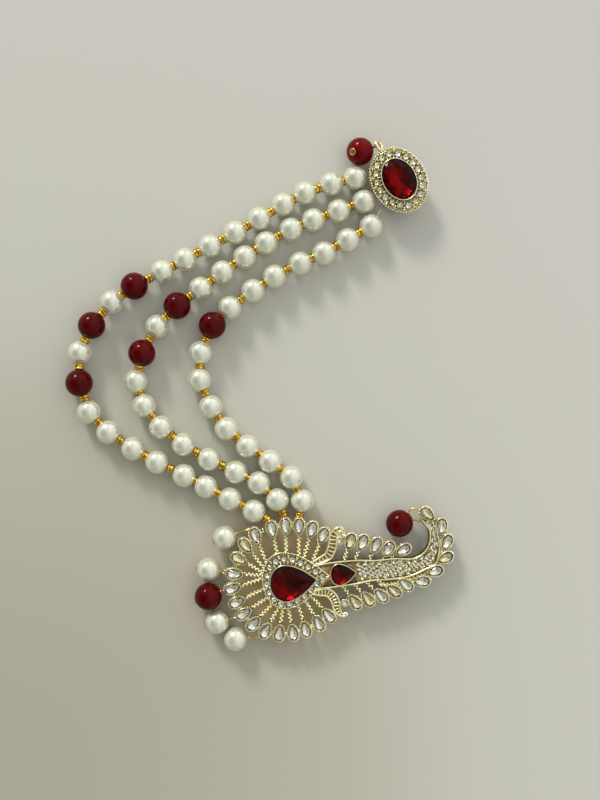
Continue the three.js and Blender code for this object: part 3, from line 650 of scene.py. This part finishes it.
# Dark gold on collet walls, plates, bars and in a bead's hole: painted shade in the recesses and gaps
PAINTED_SHADE_GOLD = gold_material("painted_shade_gold", (0.39, 0.31, 0.13), (0.19, 0.14, 0.05), 0.24, 0.4)
WIRE_GOLD = gold_material("wire_gold", (0.90, 0.64, 0.24), (0.74, 0.42, 0.10), 0.16, 0.12)
PIN_GOLD = gold_material("pin_gold", (0.78, 0.70, 0.48), (0.62, 0.50, 0.26), 0.32, 0.3)
PEARL = pearl_material()
GARNET = garnet_material("garnet_glass", 0.075, 0.145)
BRIGHT_GARNET = garnet_material("light_garnet_glass", 0.13, 0.25)
CLEAR = glass_material("clear_glass", (1.0, 1.0, 0.97), (0.98, 0.97, 0.91), 1.5)
RED = glass_material("red_glass", (0.38, 0.003, 0.003), (0.32, 0.002, 0.002), 1.2)
SILVER_FOIL = foil_material("silver_foil", (1.0, 0.99, 0.94), (0.93, 0.91, 0.82), 0.17, 0.88)
# The shade foil and the dark red foil sit on the faces under a stone's edge: painted shade for its dark
# outline
SHADE_FOIL = foil_material("shade_foil", (0.34, 0.33, 0.27), (0.16, 0.15, 0.11), 0.2)
RED_FOIL = foil_material("red_foil", (0.62, 0.03, 0.025), (0.22, 0.014, 0.014), 0.15, patches=200.0)
DEEP_RED_FOIL = foil_material("deep_red_foil", (0.34, 0.02, 0.018), (0.14, 0.01, 0.012), 0.22, patches=200.0)
PAINTED_SHADE_RED_FOIL = foil_material("painted_shade_red_foil", (0.22, 0.01, 0.014), (0.14, 0.006, 0.01), 0.16, patches=200.0)
GOLD_FOIL = foil_material("yellow_foil", (0.97, 0.93, 0.70), (0.84, 0.78, 0.50), 0.17, 0.9)
SEED = seed_material()
CLEAR_CUT = [CLEAR, SILVER_FOIL, SHADE_FOIL, GOLD_FOIL]
RED_CUT = [RED, RED_FOIL, PAINTED_SHADE_RED_FOIL]
DEEP_CUT = [RED, DEEP_RED_FOIL, PAINTED_SHADE_RED_FOIL]
THREAD = thread_material("nylon_thread", (0.80, 0.79, 0.74))
AMBER_THREAD = thread_material("amber_thread", (0.75, 0.36, 0.05))


# Beads, spacers and threads

def bead_body(radius):
    """A drilled bead along x, its hole's edges rounded over."""
    start = math.asin((BEAD_HOLE + BEAD_LIP) / radius)
    profile = []
    for k in range(BEAD_BANDS + 1):
        angle = start + k / BEAD_BANDS * (math.pi - 2 * start)
        profile.append((-radius * math.cos(angle), radius * math.sin(angle)))
    end = radius * math.cos(start)
    profile += [(end - 0.05, BEAD_HOLE + 0.06), (end - 0.3, BEAD_HOLE)]
    profile += [(-end + 0.3, BEAD_HOLE), (-end + 0.05, BEAD_HOLE + 0.06)]
    return lathe(profile, BEAD_SIDES)


def spacer_body():
    """Two seed rings side by side along x."""
    half, out = SPACER_LENGTH / 2, SPACER_RADIUS
    profile = [
        (-half, BEAD_HOLE), (-half, out - 0.22), (-half + 0.12, out - 0.04), (-half + 0.3, out),
        (-0.2, out), (-0.08, out - 0.14), (0, out - 0.36), (0.08, out - 0.14), (0.2, out),
        (half - 0.3, out), (half - 0.12, out - 0.04), (half, out - 0.22), (half, BEAD_HOLE),
    ]
    return lathe(profile, SPACER_SIDES)


def facing(point, along):
    """A place at a point with x turned along a direction."""
    turn = Vector((1, 0, 0)).rotation_difference(Vector(along)).to_matrix().to_4x4()
    return Matrix.Translation(point) @ turn


def strand_beads(name):
    route = STRAND_ROUTES[name]
    points = np.array([row[:2] for row in route])
    ends = np.vstack([2 * points[0] - points[1], points, 2 * points[-1] - points[-2]])
    beads = []
    for bead in range(route[-1][2] + 1):
        span = max(k for k in range(len(route) - 1) if route[k][2] <= bead)
        share = (bead - route[span][2]) / (route[span + 1][2] - route[span][2])
        radius = GARNET_RADIUS if bead in STRAND_GARNETS[name] else PEARL_RADIUS
        x, y = spline_point(ends[span:span + 4], share)
        beads.append((Vector((x, y, radius)), radius))
    return beads


def rim_place(row):
    return heading(row[0]) * row[1] * FAN_RADIUS + np.array(FAN_CENTRE)


def collet_end(collet, gap, spread=0.0):
    """The middle of a fan collet's round end, out by a gap, in world millimetres."""
    row = FAN_RIM[collet]
    way = heading(row[2])
    spot = rim_place(row) - way * (COLLET_LENGTH / 2 + gap) + np.array((-way[1], way[0])) * spread
    return PLUME @ Vector((*spot, TIE_HEIGHT))


def make_strand(name):
    beads = strand_beads(name)
    centres = [bead[0] for bead in beads]
    plume_end = collet_end(STRAND_COLLETS[name], -0.5)
    first = centres[0].xy - Vector(BUTTON_PLACE)
    under = Vector(BUTTON_PLACE) + first.normalized() * (BUTTON_WIDTH / 2 - 1.2)
    button_end = Vector((*under, BUTTON_BACK - GAP))
    pearls, reds, seeds, thread, tie = Pile(), Pile(), Pile(), Pile(), Pile()
    bodies = {radius: bead_body(radius) for radius in (PEARL_RADIUS, GARNET_RADIUS)}
    spacer = spacer_body()
    for k, (centre, radius) in enumerate(beads):
        before = centres[k - 1] if k else button_end
        after = centres[k + 1] if k + 1 < len(centres) else plume_end
        along = (after - before).normalized()
        roll = Matrix.Rotation(rng.uniform(0, 6.28), 4, "X")
        pile = reds if radius == GARNET_RADIUS else pearls
        pile.add(bodies[radius], facing(centre, along) @ roll)
    for (start, r0), (end, r1) in zip(beads, beads[1:]):
        way = (end - start).normalized()
        slack = (end - start).length - r0 - r1 - SPACER_LENGTH
        spot = start + way * (r0 + SPACER_LENGTH / 2 + slack * rng.uniform(0.3, 0.7))
        lean = Vector((rng.uniform(-0.1, 0.1), rng.uniform(-0.1, 0.1), rng.uniform(-0.05, 0.05)))
        seeds.add(spacer, facing(spot, way + lean))
    way = (plume_end - centres[-1]).normalized()
    seeds.add(spacer, facing(centres[-1] + way * (beads[-1][1] + SPACER_LENGTH / 2 + 0.1), way))
    thread.add(tube([button_end, *centres], THREAD_RADIUS))
    tie.add(tube([centres[-1], centres[-1].lerp(plume_end, 0.7), plume_end], THREAD_RADIUS * 1.6))
    make(f"strand_{name}_pearls", pearls, [PEARL], [f"strand_{name}"], sharp=40)
    make(f"strand_{name}_garnets", reds, [GARNET], sharp=40)
    make(f"strand_{name}_spacers", seeds, [SEED], sharp=50)
    make(f"strand_{name}_thread", thread, [THREAD])
    make(f"strand_{name}_tie", tie, [AMBER_THREAD])


# Drops

def bead_centre(name):
    low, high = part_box(f"{name}_bead")
    return ((low + high) / 2 - SHIFT) / MM


def drop_wire(centre, along, radius, ends, open_end):
    """A head pin through the bead, its far end bent over into one or two legs."""
    pile = Pile()
    head = centre - along * (radius + 0.1)
    out = centre + along * (radius + 0.25)
    start = centre if open_end else head
    pile.add(tube([start, out], WIRE_RADIUS, 12))
    if open_end:
        rim = facing(centre - along * (radius - 0.1), along)
        pile.add(eyelet(), rim)
        # A dark-gold disc in the bead's hole: painted shade
        pile.add(ball((0.16, 0.95, 0.95), 18, 10), rim, 1)
    else:
        pile.add(ball((0.3, 0.85, 0.85), 18, 10), facing(head, along))
    pile.add(ball((0.3, 0.75, 0.75), 18, 10), facing(centre + along * radius, along))
    for end in ends:
        if isinstance(end, tuple):
            top, end = Vector(end[0]), Vector(end[1])
        else:
            top = out.lerp(end, 0.55)
            top.z = max(out.z, end.z) + 0.5
        curve = bezier(out, out.lerp(top, 0.8) + along * 0.4, top, end, 14)
        pile.add(tube(curve, WIRE_RADIUS, 12))
    return pile


def eyelet():
    """A small gold ring that lines a bead's hole."""
    points = [(0, 1.05 * math.cos(t), 1.05 * math.sin(t)) for t in turns_round(24)]
    return tube(points, 0.15, 10, closed=True)


def bezier(a, b, c, d, steps):
    places = []
    for k in range(steps + 1):
        t = k / steps
        u = 1 - t
        places.append(a * u ** 3 + b * 3 * u * u * t + c * 3 * u * t * t + d * t ** 3)
    return places


def make_drop(name, red, ends, lean=None, open_end=False, look=None):
    radius = GARNET_RADIUS if red else PEARL_RADIUS
    centre = bead_centre(name)
    if lean is None:
        along = sum(ends, Vector()) / len(ends) - centre
        along.z = 0
    else:
        along = Vector(lean)
    along.normalize()
    pile = Pile()
    pile.add(bead_body(radius), facing(centre, along))
    look = look or (GARNET if red else PEARL)
    make(f"{name}_round", pile, [look], [f"{name}_bead"], sharp=40)
    wires = drop_wire(centre, along, radius, ends, open_end)
    make(f"{name}_loop", wires, [WIRE_GOLD, PAINTED_SHADE_GOLD], [f"{name}_wire"], sharp=50)


def make_drops():
    for name, red, collet, spread in FAN_DROPS:
        sides = (-spread, spread) if spread else (0.0,)
        make_drop(f"fan_{name}", red, [collet_end(collet, -0.3, side) for side in sides])
    make_drop("tip_garnet", True, TIP_WIRES, TIP_LEAN)
    bail = BUTTON @ Vector(BAIL_PLACE)
    make_drop("button_garnet", True, [bail], BUTTON_LEAN, open_end=True, look=BRIGHT_GARNET)


# Plume

def cup(outline_at, wall, rise):
    """A collet: a wall with a floor in dark gold as painted shade, and a bright rounded lip."""
    body = stack(outline_at, [
        (0.1, 0), (-0.1, 0.3), (-0.1, rise - 1.0), (0.06, rise - 0.5), (wall - 0.06, rise - 0.5), (wall, 0.9),
    ])
    lip = stack(outline_at, [
        (0, rise - 0.6), (0, rise - 0.3), (0.05, rise - 0.1), (0.14, rise), (wall - 0.12, rise),
        (wall - 0.04, rise - 0.1), (wall, rise - 0.3), (wall, rise - 0.6),
    ], closed=True)
    return body, lip


def fan_collets():
    return [(rim_place(row), row[2]) for row in FAN_RIM]


def tail_collets(rows):
    return [(tail_point(row), row[2]) for row in rows]


def make_collets():
    walls, stones, grains = Pile(), Pile(), Pile()
    wall, lip = cup(
        lambda inset: pear(COLLET_LENGTH, COLLET_WIDTH, 40, inset, COLLET_BLUNT), COLLET_WALL, COLLET_RISE)
    inside = 2 * COLLET_WALL + 0.3
    inner = pear_at(COLLET_LENGTH - inside, COLLET_WIDTH - inside, COLLET_BLUNT)
    stone = cut_stone(inner, 8, 0.6, 0.6, 0.5)
    grain = ball((GRAIN_RADIUS,) * 3, 8, 6)
    scallop = even(pear(COLLET_LENGTH, COLLET_WIDTH, 72, -0.06, COLLET_BLUNT), 24)
    for centre, point in fan_collets() + tail_collets(TAIL_UPPER + TAIL_LOWER):
        spot = PLUME @ place(*centre, 0, math.radians(point))
        walls.add(wall, spot, 1)
        walls.add(lip, spot)
        stones.add(foiled(stone, YELLOWED), spot @ place(0, 0, PLUME_BACK + 2.6) @ tilt(5))
        for at, _ in scallop[1:]:
            grains.add(grain, spot @ place(*at, PLUME_BACK + 2.05))
    make("plume_scallops", grains, [GOLD])
    make("plume_collets", walls, [GOLD, PAINTED_SHADE_GOLD], ["plume_setting"], sharp=50)
    make("plume_clear_stones", stones, CLEAR_CUT, flat=True)


def reach_to(outline, start, way):
    """How far a ray runs before it meets an outline."""
    best = LONGEST_SPOKE
    for a, b in zip(outline, np.roll(outline, -1, axis=0)):
        edge = b - a
        cross = way[0] * edge[1] - way[1] * edge[0]
        if abs(cross) < 1e-9:
            continue
        gap = a - start
        distance = (gap[0] * edge[1] - gap[1] * edge[0]) / cross
        share = (gap[0] * way[1] - gap[1] * way[0]) / cross
        if distance > 0 and 0 <= share <= 1:
            best = min(best, distance)
    return best


def rail_curves(steps=RAIL_STEPS):
    return [catmull(np.array(rail) * TAIL_LENGTH, steps) for rail in (RAIL_UPPER, RAIL_LOWER)]


def spokes():
    """Chains of grains on a thin dark-gold bar, painted shade between the grains, from each stone's point to
    the halo or the rail; the last stone of the lower row looks past the rail and has none."""
    halo = halo_outline(0, 72)
    upper, lower = rail_curves()
    bed = np.vstack([lower, upper[::-1]])
    pile = Pile()
    grain = ball((SPOKE_GRAIN,) * 3, 10, 7)
    z = PLUME_BACK + 1.15
    targets = [(*collet, halo) for collet in fan_collets()]
    targets += [(*collet, bed) for collet in tail_collets(TAIL_UPPER + TAIL_LOWER[:-1])]
    for start, point, outline in targets:
        way = heading(point)
        side = np.array((-way[1], way[0]))
        length = reach_to(outline, start, way) + 0.3
        end = start + way * length
        pile.add(tube([(*start, z - 0.15), (*end, z - 0.15)], BAR_RADIUS), PLUME, 1)
        run = length - COLLET_LENGTH / 2
        count = max(1, round(run / SPOKE_STEP))
        for k in range(count):
            at = end - way * (0.2 + k * run / count) + side * (SPOKE_SWAY if k % 2 else -SPOKE_SWAY)
            pile.add(grain, PLUME @ place(*at, z + 0.3))
    return pile


def links():
    """Grains and low dark-gold bars, painted shade, that tie neighbouring collets together."""
    pile = Pile()
    grain = ball((LINK_GRAIN,) * 3, 10, 7)
    z = PLUME_BACK + 0.7
    for chain in (fan_collets(), tail_collets(TAIL_UPPER), tail_collets(TAIL_LOWER)):
        for (a, way_a), (b, way_b) in zip(chain, chain[1:]):
            pile.add(tube([(*a, z), (*b, z)], BAR_RADIUS), PLUME, 1)
            out = -(heading(way_a) + heading(way_b))
            out /= max(np.hypot(*out), 0.1)
            for step, lift in ((0.2, 1.9), (1.0, 1.5)):
                pile.add(grain, PLUME @ place(*((a + b) / 2 + out * step), PLUME_BACK + lift))
    return pile


def halo_outline(inset, sides=96):
    return pear(HALO_LENGTH, HALO_WIDTH, sides, inset) + np.array(HALO_CENTRE)


def bezels():
    """The halo's plate and the walls round both red stones in dark gold as painted shade, with a bright rim
    wire, and the bright bezels of both red stones.
    """
    pile = Pile()
    rim = [(0.14, 0), (0.04, 0.3), (0.04, 2.1), (0.5, 2.1), (0.6, 1.9)]
    rings = [lifted(halo_outline(inset), PLUME_BACK + z) for inset, z in rim]
    rings += [
        lifted(pear(CENTRE_LENGTH, CENTRE_WIDTH, 96, -grow) + np.array(CENTRE_PLACE), PLUME_BACK + z)
        for grow, z in [(0.5, 1.9), (0.46, 3.0), (0.1, 3.0), (0.05, 0.6)]
    ]
    pile.add(loft(rings), PLUME, 1)
    pile.add(wire_round(halo_outline(0.22), PLUME_BACK + 2.25, 0.2), PLUME)
    stones = [
        (CENTRE_LENGTH, CENTRE_WIDTH, np.array(CENTRE_PLACE), 3.15),
        (SMALL_LENGTH, SMALL_WIDTH, tail_point(SMALL_PLACE), 2.65),
    ]
    for length, width, centre, rise in stones:
        edge = pear(length, width, 96, -0.24) + centre
        pile.add(wire_round(edge, PLUME_BACK + rise, 0.15), PLUME)
    pile.add(stack(
        lambda inset: pear(SMALL_LENGTH, SMALL_WIDTH, 64, inset) + tail_point(SMALL_PLACE),
        [(-0.5, 0), (-0.5, 2.5), (-0.08, 2.5), (-0.05, 0.6)],
    ), PLUME, 1)
    return pile


def slab(left, right, rise):
    """A closed plate on the plume's back between two plane curves."""
    rings = []
    for a, b in zip(left, right):
        rings.append(np.array([
            (*a, PLUME_BACK), (*b, PLUME_BACK), (*b, PLUME_BACK + rise), (*a, PLUME_BACK + rise),
        ]))
    return loft(rings)


def collars():
    """Ribbed S-shaped leaves: two raised edges that taper to the ends, ribs across between them, over a
    dark-gold plate as painted shade in the gaps.
    """
    pile = Pile()
    steps = 60
    rib = ball((0.29, 1.0, 0.4), 12, 8)
    half = 0.35 + 0.95 * np.sin(math.pi * np.minimum(np.arange(steps + 1) / steps * 1.1, 1)) ** 0.7
    for rows in (COLLAR_UPPER, COLLAR_LOWER):
        curve = catmull(np.array(rows) * TAIL_LENGTH, steps)
        side = normals(curve)
        left, right = curve + half[:, None] * side, curve - half[:, None] * side
        for edge in (right, left):
            pile.add(tube(lifted(edge, PLUME_BACK + 2.25), 0.34, 10), PLUME)
        pile.add(slab(left, right, 1.3), PLUME, 1)
        for k in range(4, steps - 2, 4):
            turn = math.atan2(side[k][1], side[k][0]) - math.pi / 2
            shape = Matrix.Diagonal((1, max(half[k] - 0.15, 0.2), 1, 1))
            pile.add(rib, PLUME @ place(*curve[k], PLUME_BACK + 1.95, turn) @ shape)
        pile.add(ball((0.8, 0.8, 0.7), 18, 10), PLUME @ place(*curve[-1], PLUME_BACK + 2.0))
    return pile


def rails():
    """The two long bars of the tail in dark gold as painted shade, each with a bright wire on top."""
    pile = Pile()
    bar = [(-0.5, 0), (0.5, 0), (0.5, 1.8), (0.3, 2.2), (-0.3, 2.2), (-0.5, 1.8)]
    for curve in rail_curves():
        pile.add(band(curve, bar), PLUME, 1)
        pile.add(tube(lifted(curve, PLUME_BACK + 2.3), 0.3, 10), PLUME)
    return pile


def pave_bed():
    """The plate between the rails that carries the small stones, in dark gold as painted shade between them.
    """
    upper, lower = rail_curves()
    first = round(PAVE_START * RAIL_STEPS) - 2
    pile = Pile()
    pile.add(slab(upper[first:], lower[first:], PLATE), PLUME)
    return pile


def pave_places():
    steps = 400
    upper, lower = rail_curves(steps)
    places = []
    for row in range(PAVE_ROWS):
        share = PAVE_START + (row + 0.6) / PAVE_ROWS * (1 - PAVE_START)
        at = min(int(share * steps), steps)
        start, end = lower[at], upper[at]
        width = np.hypot(*(end - start)) - 0.5
        count = max(1, int(width / PAVE_PITCH) - row % 2)
        for k in range(count):
            across = 0.5 + (k - (count - 1) / 2) * PAVE_PITCH / (width + 0.5)
            places.append(start + across * (end - start))
    return places


def halo_places():
    length = (HALO_LENGTH - 1.1 + CENTRE_LENGTH + BEZEL_WALL) / 2
    width = (HALO_WIDTH - 1.1 + CENTRE_WIDTH + BEZEL_WALL) / 2
    centre = (np.array(HALO_CENTRE) + np.array(CENTRE_PLACE)) / 2
    return [(spot + centre, turn) for spot, turn in even(pear(length, width, 144), HALO_STONES)]


def round_stone(radius):
    return cut_stone(oval_at(2 * radius, 2 * radius), 8, 0.52, 0.45 * radius, 0.34 * radius, 0.05, 0.7)


def ring_of_stones(stones, claws, matrix, spots, seat, radius, yellowed):
    """Round stones side by side, with a pair of claws and small grains between neighbours."""
    stone = round_stone(radius)
    claw = ball((0.33, 0.33, 0.46), 10, 7)
    grain = ball((0.2, 0.2, 0.3), 8, 6)
    middles = [np.mean([a[0], b[0]], axis=0) for a, b in zip(spots, spots[1:] + spots[:1])]
    for (spot, turn), middle in zip(spots, middles):
        stones.add(foiled(stone, yellowed), matrix @ place(*spot, seat, turn) @ tilt(9))
        for reach in (-1.3, -0.66, 0.66, 1.3):
            at = middle + heading(math.degrees(turn) + 90 + 180 / len(spots)) * reach
            claws.add(claw, matrix @ place(*at, seat + 0.05))
        for reach in (-radius - 0.15, radius + 0.15):
            at = spot + heading(math.degrees(turn) + 90) * reach
            claws.add(grain, matrix @ place(*at, seat))


def make_round_stones():
    """Halo and pave stones held by small claws, and side stones in cups."""
    stones, claws = Pile(), Pile()
    seat = PLUME_BACK + PLATE + 0.4
    small = round_stone(PAVE_RADIUS)
    claw = ball((0.25, 0.25, 0.45), 8, 6)
    ring_of_stones(stones, claws, PLUME, halo_places(), seat, ROUND_RADIUS, YELLOWED)
    for spot in pave_places():
        stones.add(foiled(small, YELLOWED), PLUME @ place(*spot, seat, rng.uniform(0, 3)) @ tilt(18))
        for step in (0, 120, 240):
            at = spot + heading(step + rng.uniform(20, 80)) * (PAVE_RADIUS + 0.04)
            claws.add(claw, PLUME @ place(*at, seat))
    wall, lip = cup(lambda inset: oval(2.8, 2.8, 28, inset), 0.4, 2.35)
    for share in SIDE_STONES:
        spot = tail_point(share)
        claws.add(wall, PLUME @ place(*spot), 1)
        claws.add(lip, PLUME @ place(*spot))
        stones.add(round_stone(ROUND_RADIUS), PLUME @ place(*spot, PLUME_BACK + 2.1))
    make("plume_round_stones", stones, CLEAR_CUT, flat=True)
    make("plume_claws", claws, [GOLD, PAINTED_SHADE_GOLD], sharp=60)


def make_empty_setting():
    """A small square setting at the upper collar that has lost its stone."""
    pile = Pile()
    spot = place(*EMPTY_PLACE, 0, EMPTY_TURN)
    for half, low, rise, mark in ((1.05, 0.0, 1.7, 0), (0.7, 1.0, 1.75, 1)):
        square = [(-half, -half), (half, -half), (half, half), (-half, half)]
        pile.add(loft([lifted(np.array(square), PLUME_BACK + z) for z in (low, rise)]), spot, mark)
    for x in (-0.9, 0.9):
        for y in (-0.9, 0.9):
            pile.add(ball((0.34, 0.34, 0.5), 10, 7), spot @ place(x, y, PLUME_BACK + 1.8))
    make("plume_empty_setting", pile, [GOLD, GOLD_FOIL], sharp=40)


def milgrain():
    """A row of grains round the halo's rim."""
    pile = Pile()
    grain = ball((0.24,) * 3, 8, 6)
    for spot, _ in even(halo_outline(0.3, 200), 84):
        pile.add(grain, PLUME @ place(*spot, PLUME_BACK + 2.35))
    return pile


def make_tie():
    """The brown wire that crosses from the small stone's collet to the lower rail."""
    pile = Pile()
    ends = [tail_point(share) for share in TIE_WIRE]
    pile.add(tube([(*end, PLUME_BACK + 2.9) for end in ends], 0.22, 10), PLUME)
    make("plume_tie", pile, [WIRE_GOLD])


def make_plume_frame():
    both = [GOLD, PAINTED_SHADE_GOLD]
    rows = [
        ("bezels", bezels(), both, 50),
        ("milgrain", milgrain(), [GOLD], None),
        ("rails", rails(), both, 50),
        ("bed", pave_bed(), [PAINTED_SHADE_GOLD], 30),
        ("collars", collars(), both, 50),
        ("spokes", spokes(), both, 60),
        ("links", links(), both, 60),
    ]
    for name, pile, looks, sharp in rows:
        make(f"plume_{name}", pile, looks, sharp=sharp)


def make_red_stones():
    """Rows: name, girdle outline, table share, crown, depth, girdle height, looks, seat."""
    rows = [
        ("plume_center", pear_at(CENTRE_LENGTH, CENTRE_WIDTH), 0.64, 1.5, 1.9, 0.15, DEEP_CUT,
         PLUME @ place(*CENTRE_PLACE, PLUME_BACK + 3.3)),
        ("plume_small", pear_at(SMALL_LENGTH, SMALL_WIDTH), 0.6, 1.0, 1.1, 0.12, DEEP_CUT,
         PLUME @ place(*tail_point(SMALL_PLACE), PLUME_BACK + 2.85)),
        ("button", oval_at(OVAL_LENGTH, OVAL_WIDTH), 0.66, 1.05, 1.8, 0.15, RED_CUT,
         BUTTON @ place(0, 0, BUTTON_BACK + 3.5)),
    ]
    for name, outline_at, table, crown, depth, girdle, looks, seat in rows:
        pile = Pile()
        pile.add(cut_stone(outline_at, 8, table, crown, depth, girdle, 0.6), seat)
        make(f"{name}_cut", pile, looks, [f"{name}_stone"], flat=True)


# Oval brooch

def button_body():
    """The plate and the stone's bezel in dark gold as painted shade, with bright wires round both."""
    rim = [(0.75, 0), (0.5, 0.25), (0.42, 0.7), (0.42, 1.25), (0.6, 1.4), (1.0, 1.8)]
    wall = [(0.56, 1.8), (0.52, 3.2), (0.1, 3.2), (0.05, 0.6)]
    rings = [lifted(oval(BUTTON_LENGTH, BUTTON_WIDTH, 96, inset), BUTTON_BACK + z) for inset, z in rim]
    rings += [lifted(oval(OVAL_LENGTH, OVAL_WIDTH, 96, -grow), BUTTON_BACK + z) for grow, z in wall]
    pile = Pile()
    pile.add(loft(rings), BUTTON, 1)
    pile.add(wire_round(oval(OVAL_LENGTH, OVAL_WIDTH, 96, -0.28), BUTTON_BACK + 3.3, 0.17), BUTTON)
    pile.add(wire_round(oval(BUTTON_LENGTH, BUTTON_WIDTH, 96, 1.2), BUTTON_BACK + 1.85, 0.17), BUTTON)
    return pile


def rope():
    """A twisted edge: slanting grains laid nose to tail round the rim."""
    pile = Pile()
    grain = ball((0.35, 0.4, 0.52), 12, 8)
    slant = Matrix.Rotation(math.radians(30), 4, "X") @ Matrix.Rotation(math.radians(42), 4, "Z")
    for spot, turn in even(oval(BUTTON_LENGTH, BUTTON_WIDTH, 240, 0.5), ROPE_TURNS):
        pile.add(grain, BUTTON @ place(*spot, BUTTON_BACK + 1.75, turn) @ slant)
    return pile


def bail_ring():
    """A leaning wire ring at the head of the oval brooch."""
    x, y, z = BAIL_PLACE
    upright = math.sqrt(1 - BAIL_LEAN ** 2)
    points = []
    for angle in turns_round(40):
        across = BAIL_RADIUS * math.sin(angle)
        points.append((x - across * BAIL_LEAN, y + BAIL_RADIUS * math.cos(angle), z + across * upright))
    pile = Pile()
    pile.add(tube(points, BAIL_WIRE, 12, closed=True), BUTTON)
    return pile


def make_button():
    make("button_plate", button_body(), [GOLD, PAINTED_SHADE_GOLD], ["button_setting"], sharp=50)
    make("button_rope", rope(), [GOLD], sharp=60)
    stones, claws = Pile(), Pile()
    length = (BUTTON_LENGTH - 1.8 + OVAL_LENGTH + 2 * BEZEL_WALL) / 2
    width = (BUTTON_WIDTH - 1.8 + OVAL_WIDTH + 2 * BEZEL_WALL) / 2
    seat = BUTTON_BACK + BUTTON_PLATE + 0.42
    spots = even(oval(length, width, 240), BUTTON_STONES)
    ring_of_stones(stones, claws, BUTTON, spots, seat, BUTTON_ROUND, BUTTON_YELLOWED)
    make("button_round_stones", stones, CLEAR_CUT, flat=True)
    make("button_claws", claws, [GOLD], sharp=60)
    make("button_bail", bail_ring(), [GOLD])


# Stage, light and camera

def make_floor():
    mesh = bpy.data.meshes.new("floor")
    corners = [(x * FLOOR_HALF, y * FLOOR_HALF, 0) for x, y in ((-1, -1), (1, -1), (1, 1), (-1, 1))]
    mesh.from_pydata(corners, [], [(0, 1, 2, 3)])
    floor = bpy.data.objects.new("floor", mesh)
    bpy.context.scene.collection.objects.link(floor)
    made, tree, shader = material("pale_table", Roughness=0.75, Specular_IOR_Level=0.2)
    where = tree.nodes.new("ShaderNodeTexCoord").outputs["Object"]
    # Painted shade: the base colour darkens towards the dim corner; painted warm light brightens and warms it
    # round the fan
    tint = ramp(tree, far_from(tree, where, DIM_CORNER), FLOOR_PAINTED_SHADE)
    fan = (PLUME @ Vector((*FAN_CENTRE, 0))) * MM + SHIFT
    warm = ramp(tree, far_from(tree, where, fan), FLOOR_PAINTED_WARM_LIGHT)
    tree.links.new(mixed(tree, "MULTIPLY", tint, warm), shader.inputs["Base Color"])
    mesh.materials.append(made)


def make_world():
    """A room: dim overhead to the left, brighter to the right and towards the far end."""
    world = bpy.data.worlds.new("room")
    world.use_nodes = True
    bpy.context.scene.world = world
    tree = world.node_tree
    way = tree.nodes.new("ShaderNodeTexCoord").outputs["Generated"]
    split = tree.nodes.new("ShaderNodeSeparateXYZ")
    tree.links.new(way, split.inputs["Vector"])
    walls = []
    for axis, stops in (("X", ROOM_SIDES), ("Y", ROOM_ENDS)):
        share = node(tree, "ShaderNodeMapRange")
        share.inputs["From Min"].default_value = -1.0
        tree.links.new(split.outputs[axis], share.inputs["Value"])
        walls.append(ramp(tree, share.outputs["Result"], stops))
    dark = ramp(tree, far_from(tree, way, DARK_WAY), ROOM_DARK)
    glow = ramp(tree, far_from(tree, way, LIGHT_WAY), ROOM_GLOW)
    room = mixed(tree, "MULTIPLY", mixed(tree, "MULTIPLY", *walls), dark)
    background = tree.nodes["Background"]
    tree.links.new(mixed(tree, "ADD", room, glow), background.inputs["Color"])
    background.inputs["Strength"].default_value = WORLD_STRENGTH


def make_light():
    lamp = bpy.data.lights.new("window", "SUN")
    lamp.energy = KEY_STRENGTH
    lamp.angle = math.radians(LIGHT_WIDTH)
    lamp.color = (1.0, 0.985, 0.95)
    sun = bpy.data.objects.new("window", lamp)
    bpy.context.scene.collection.objects.link(sun)
    sun.rotation_euler = Vector(LIGHT_WAY).to_track_quat("Z", "Y").to_euler()


def make_camera():
    data = bpy.data.cameras.new("camera")
    data.lens = CAMERA_LENS
    data.clip_start = 0.01
    camera = bpy.data.objects.new("camera", data)
    camera.location = Vector((*CAMERA_PLACE, CAMERA_HEIGHT)) * MM + Vector((SHIFT.x, SHIFT.y, 0))
    bpy.context.scene.collection.objects.link(camera)
    bpy.context.scene.camera = camera


make_camera()
for strand in STRAND_ROUTES:
    make_strand(strand)
make_drops()
make_collets()
make_plume_frame()
make_tie()
make_round_stones()
make_empty_setting()
make_red_stones()
make_button()
for name in ("plume_pin", "button_pin"):
    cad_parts[name].data.materials.clear()
    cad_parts[name].data.materials.append(PIN_GOLD)
make_floor()
make_world()
make_light()
bpy.context.scene.view_settings.view_transform = "Standard"
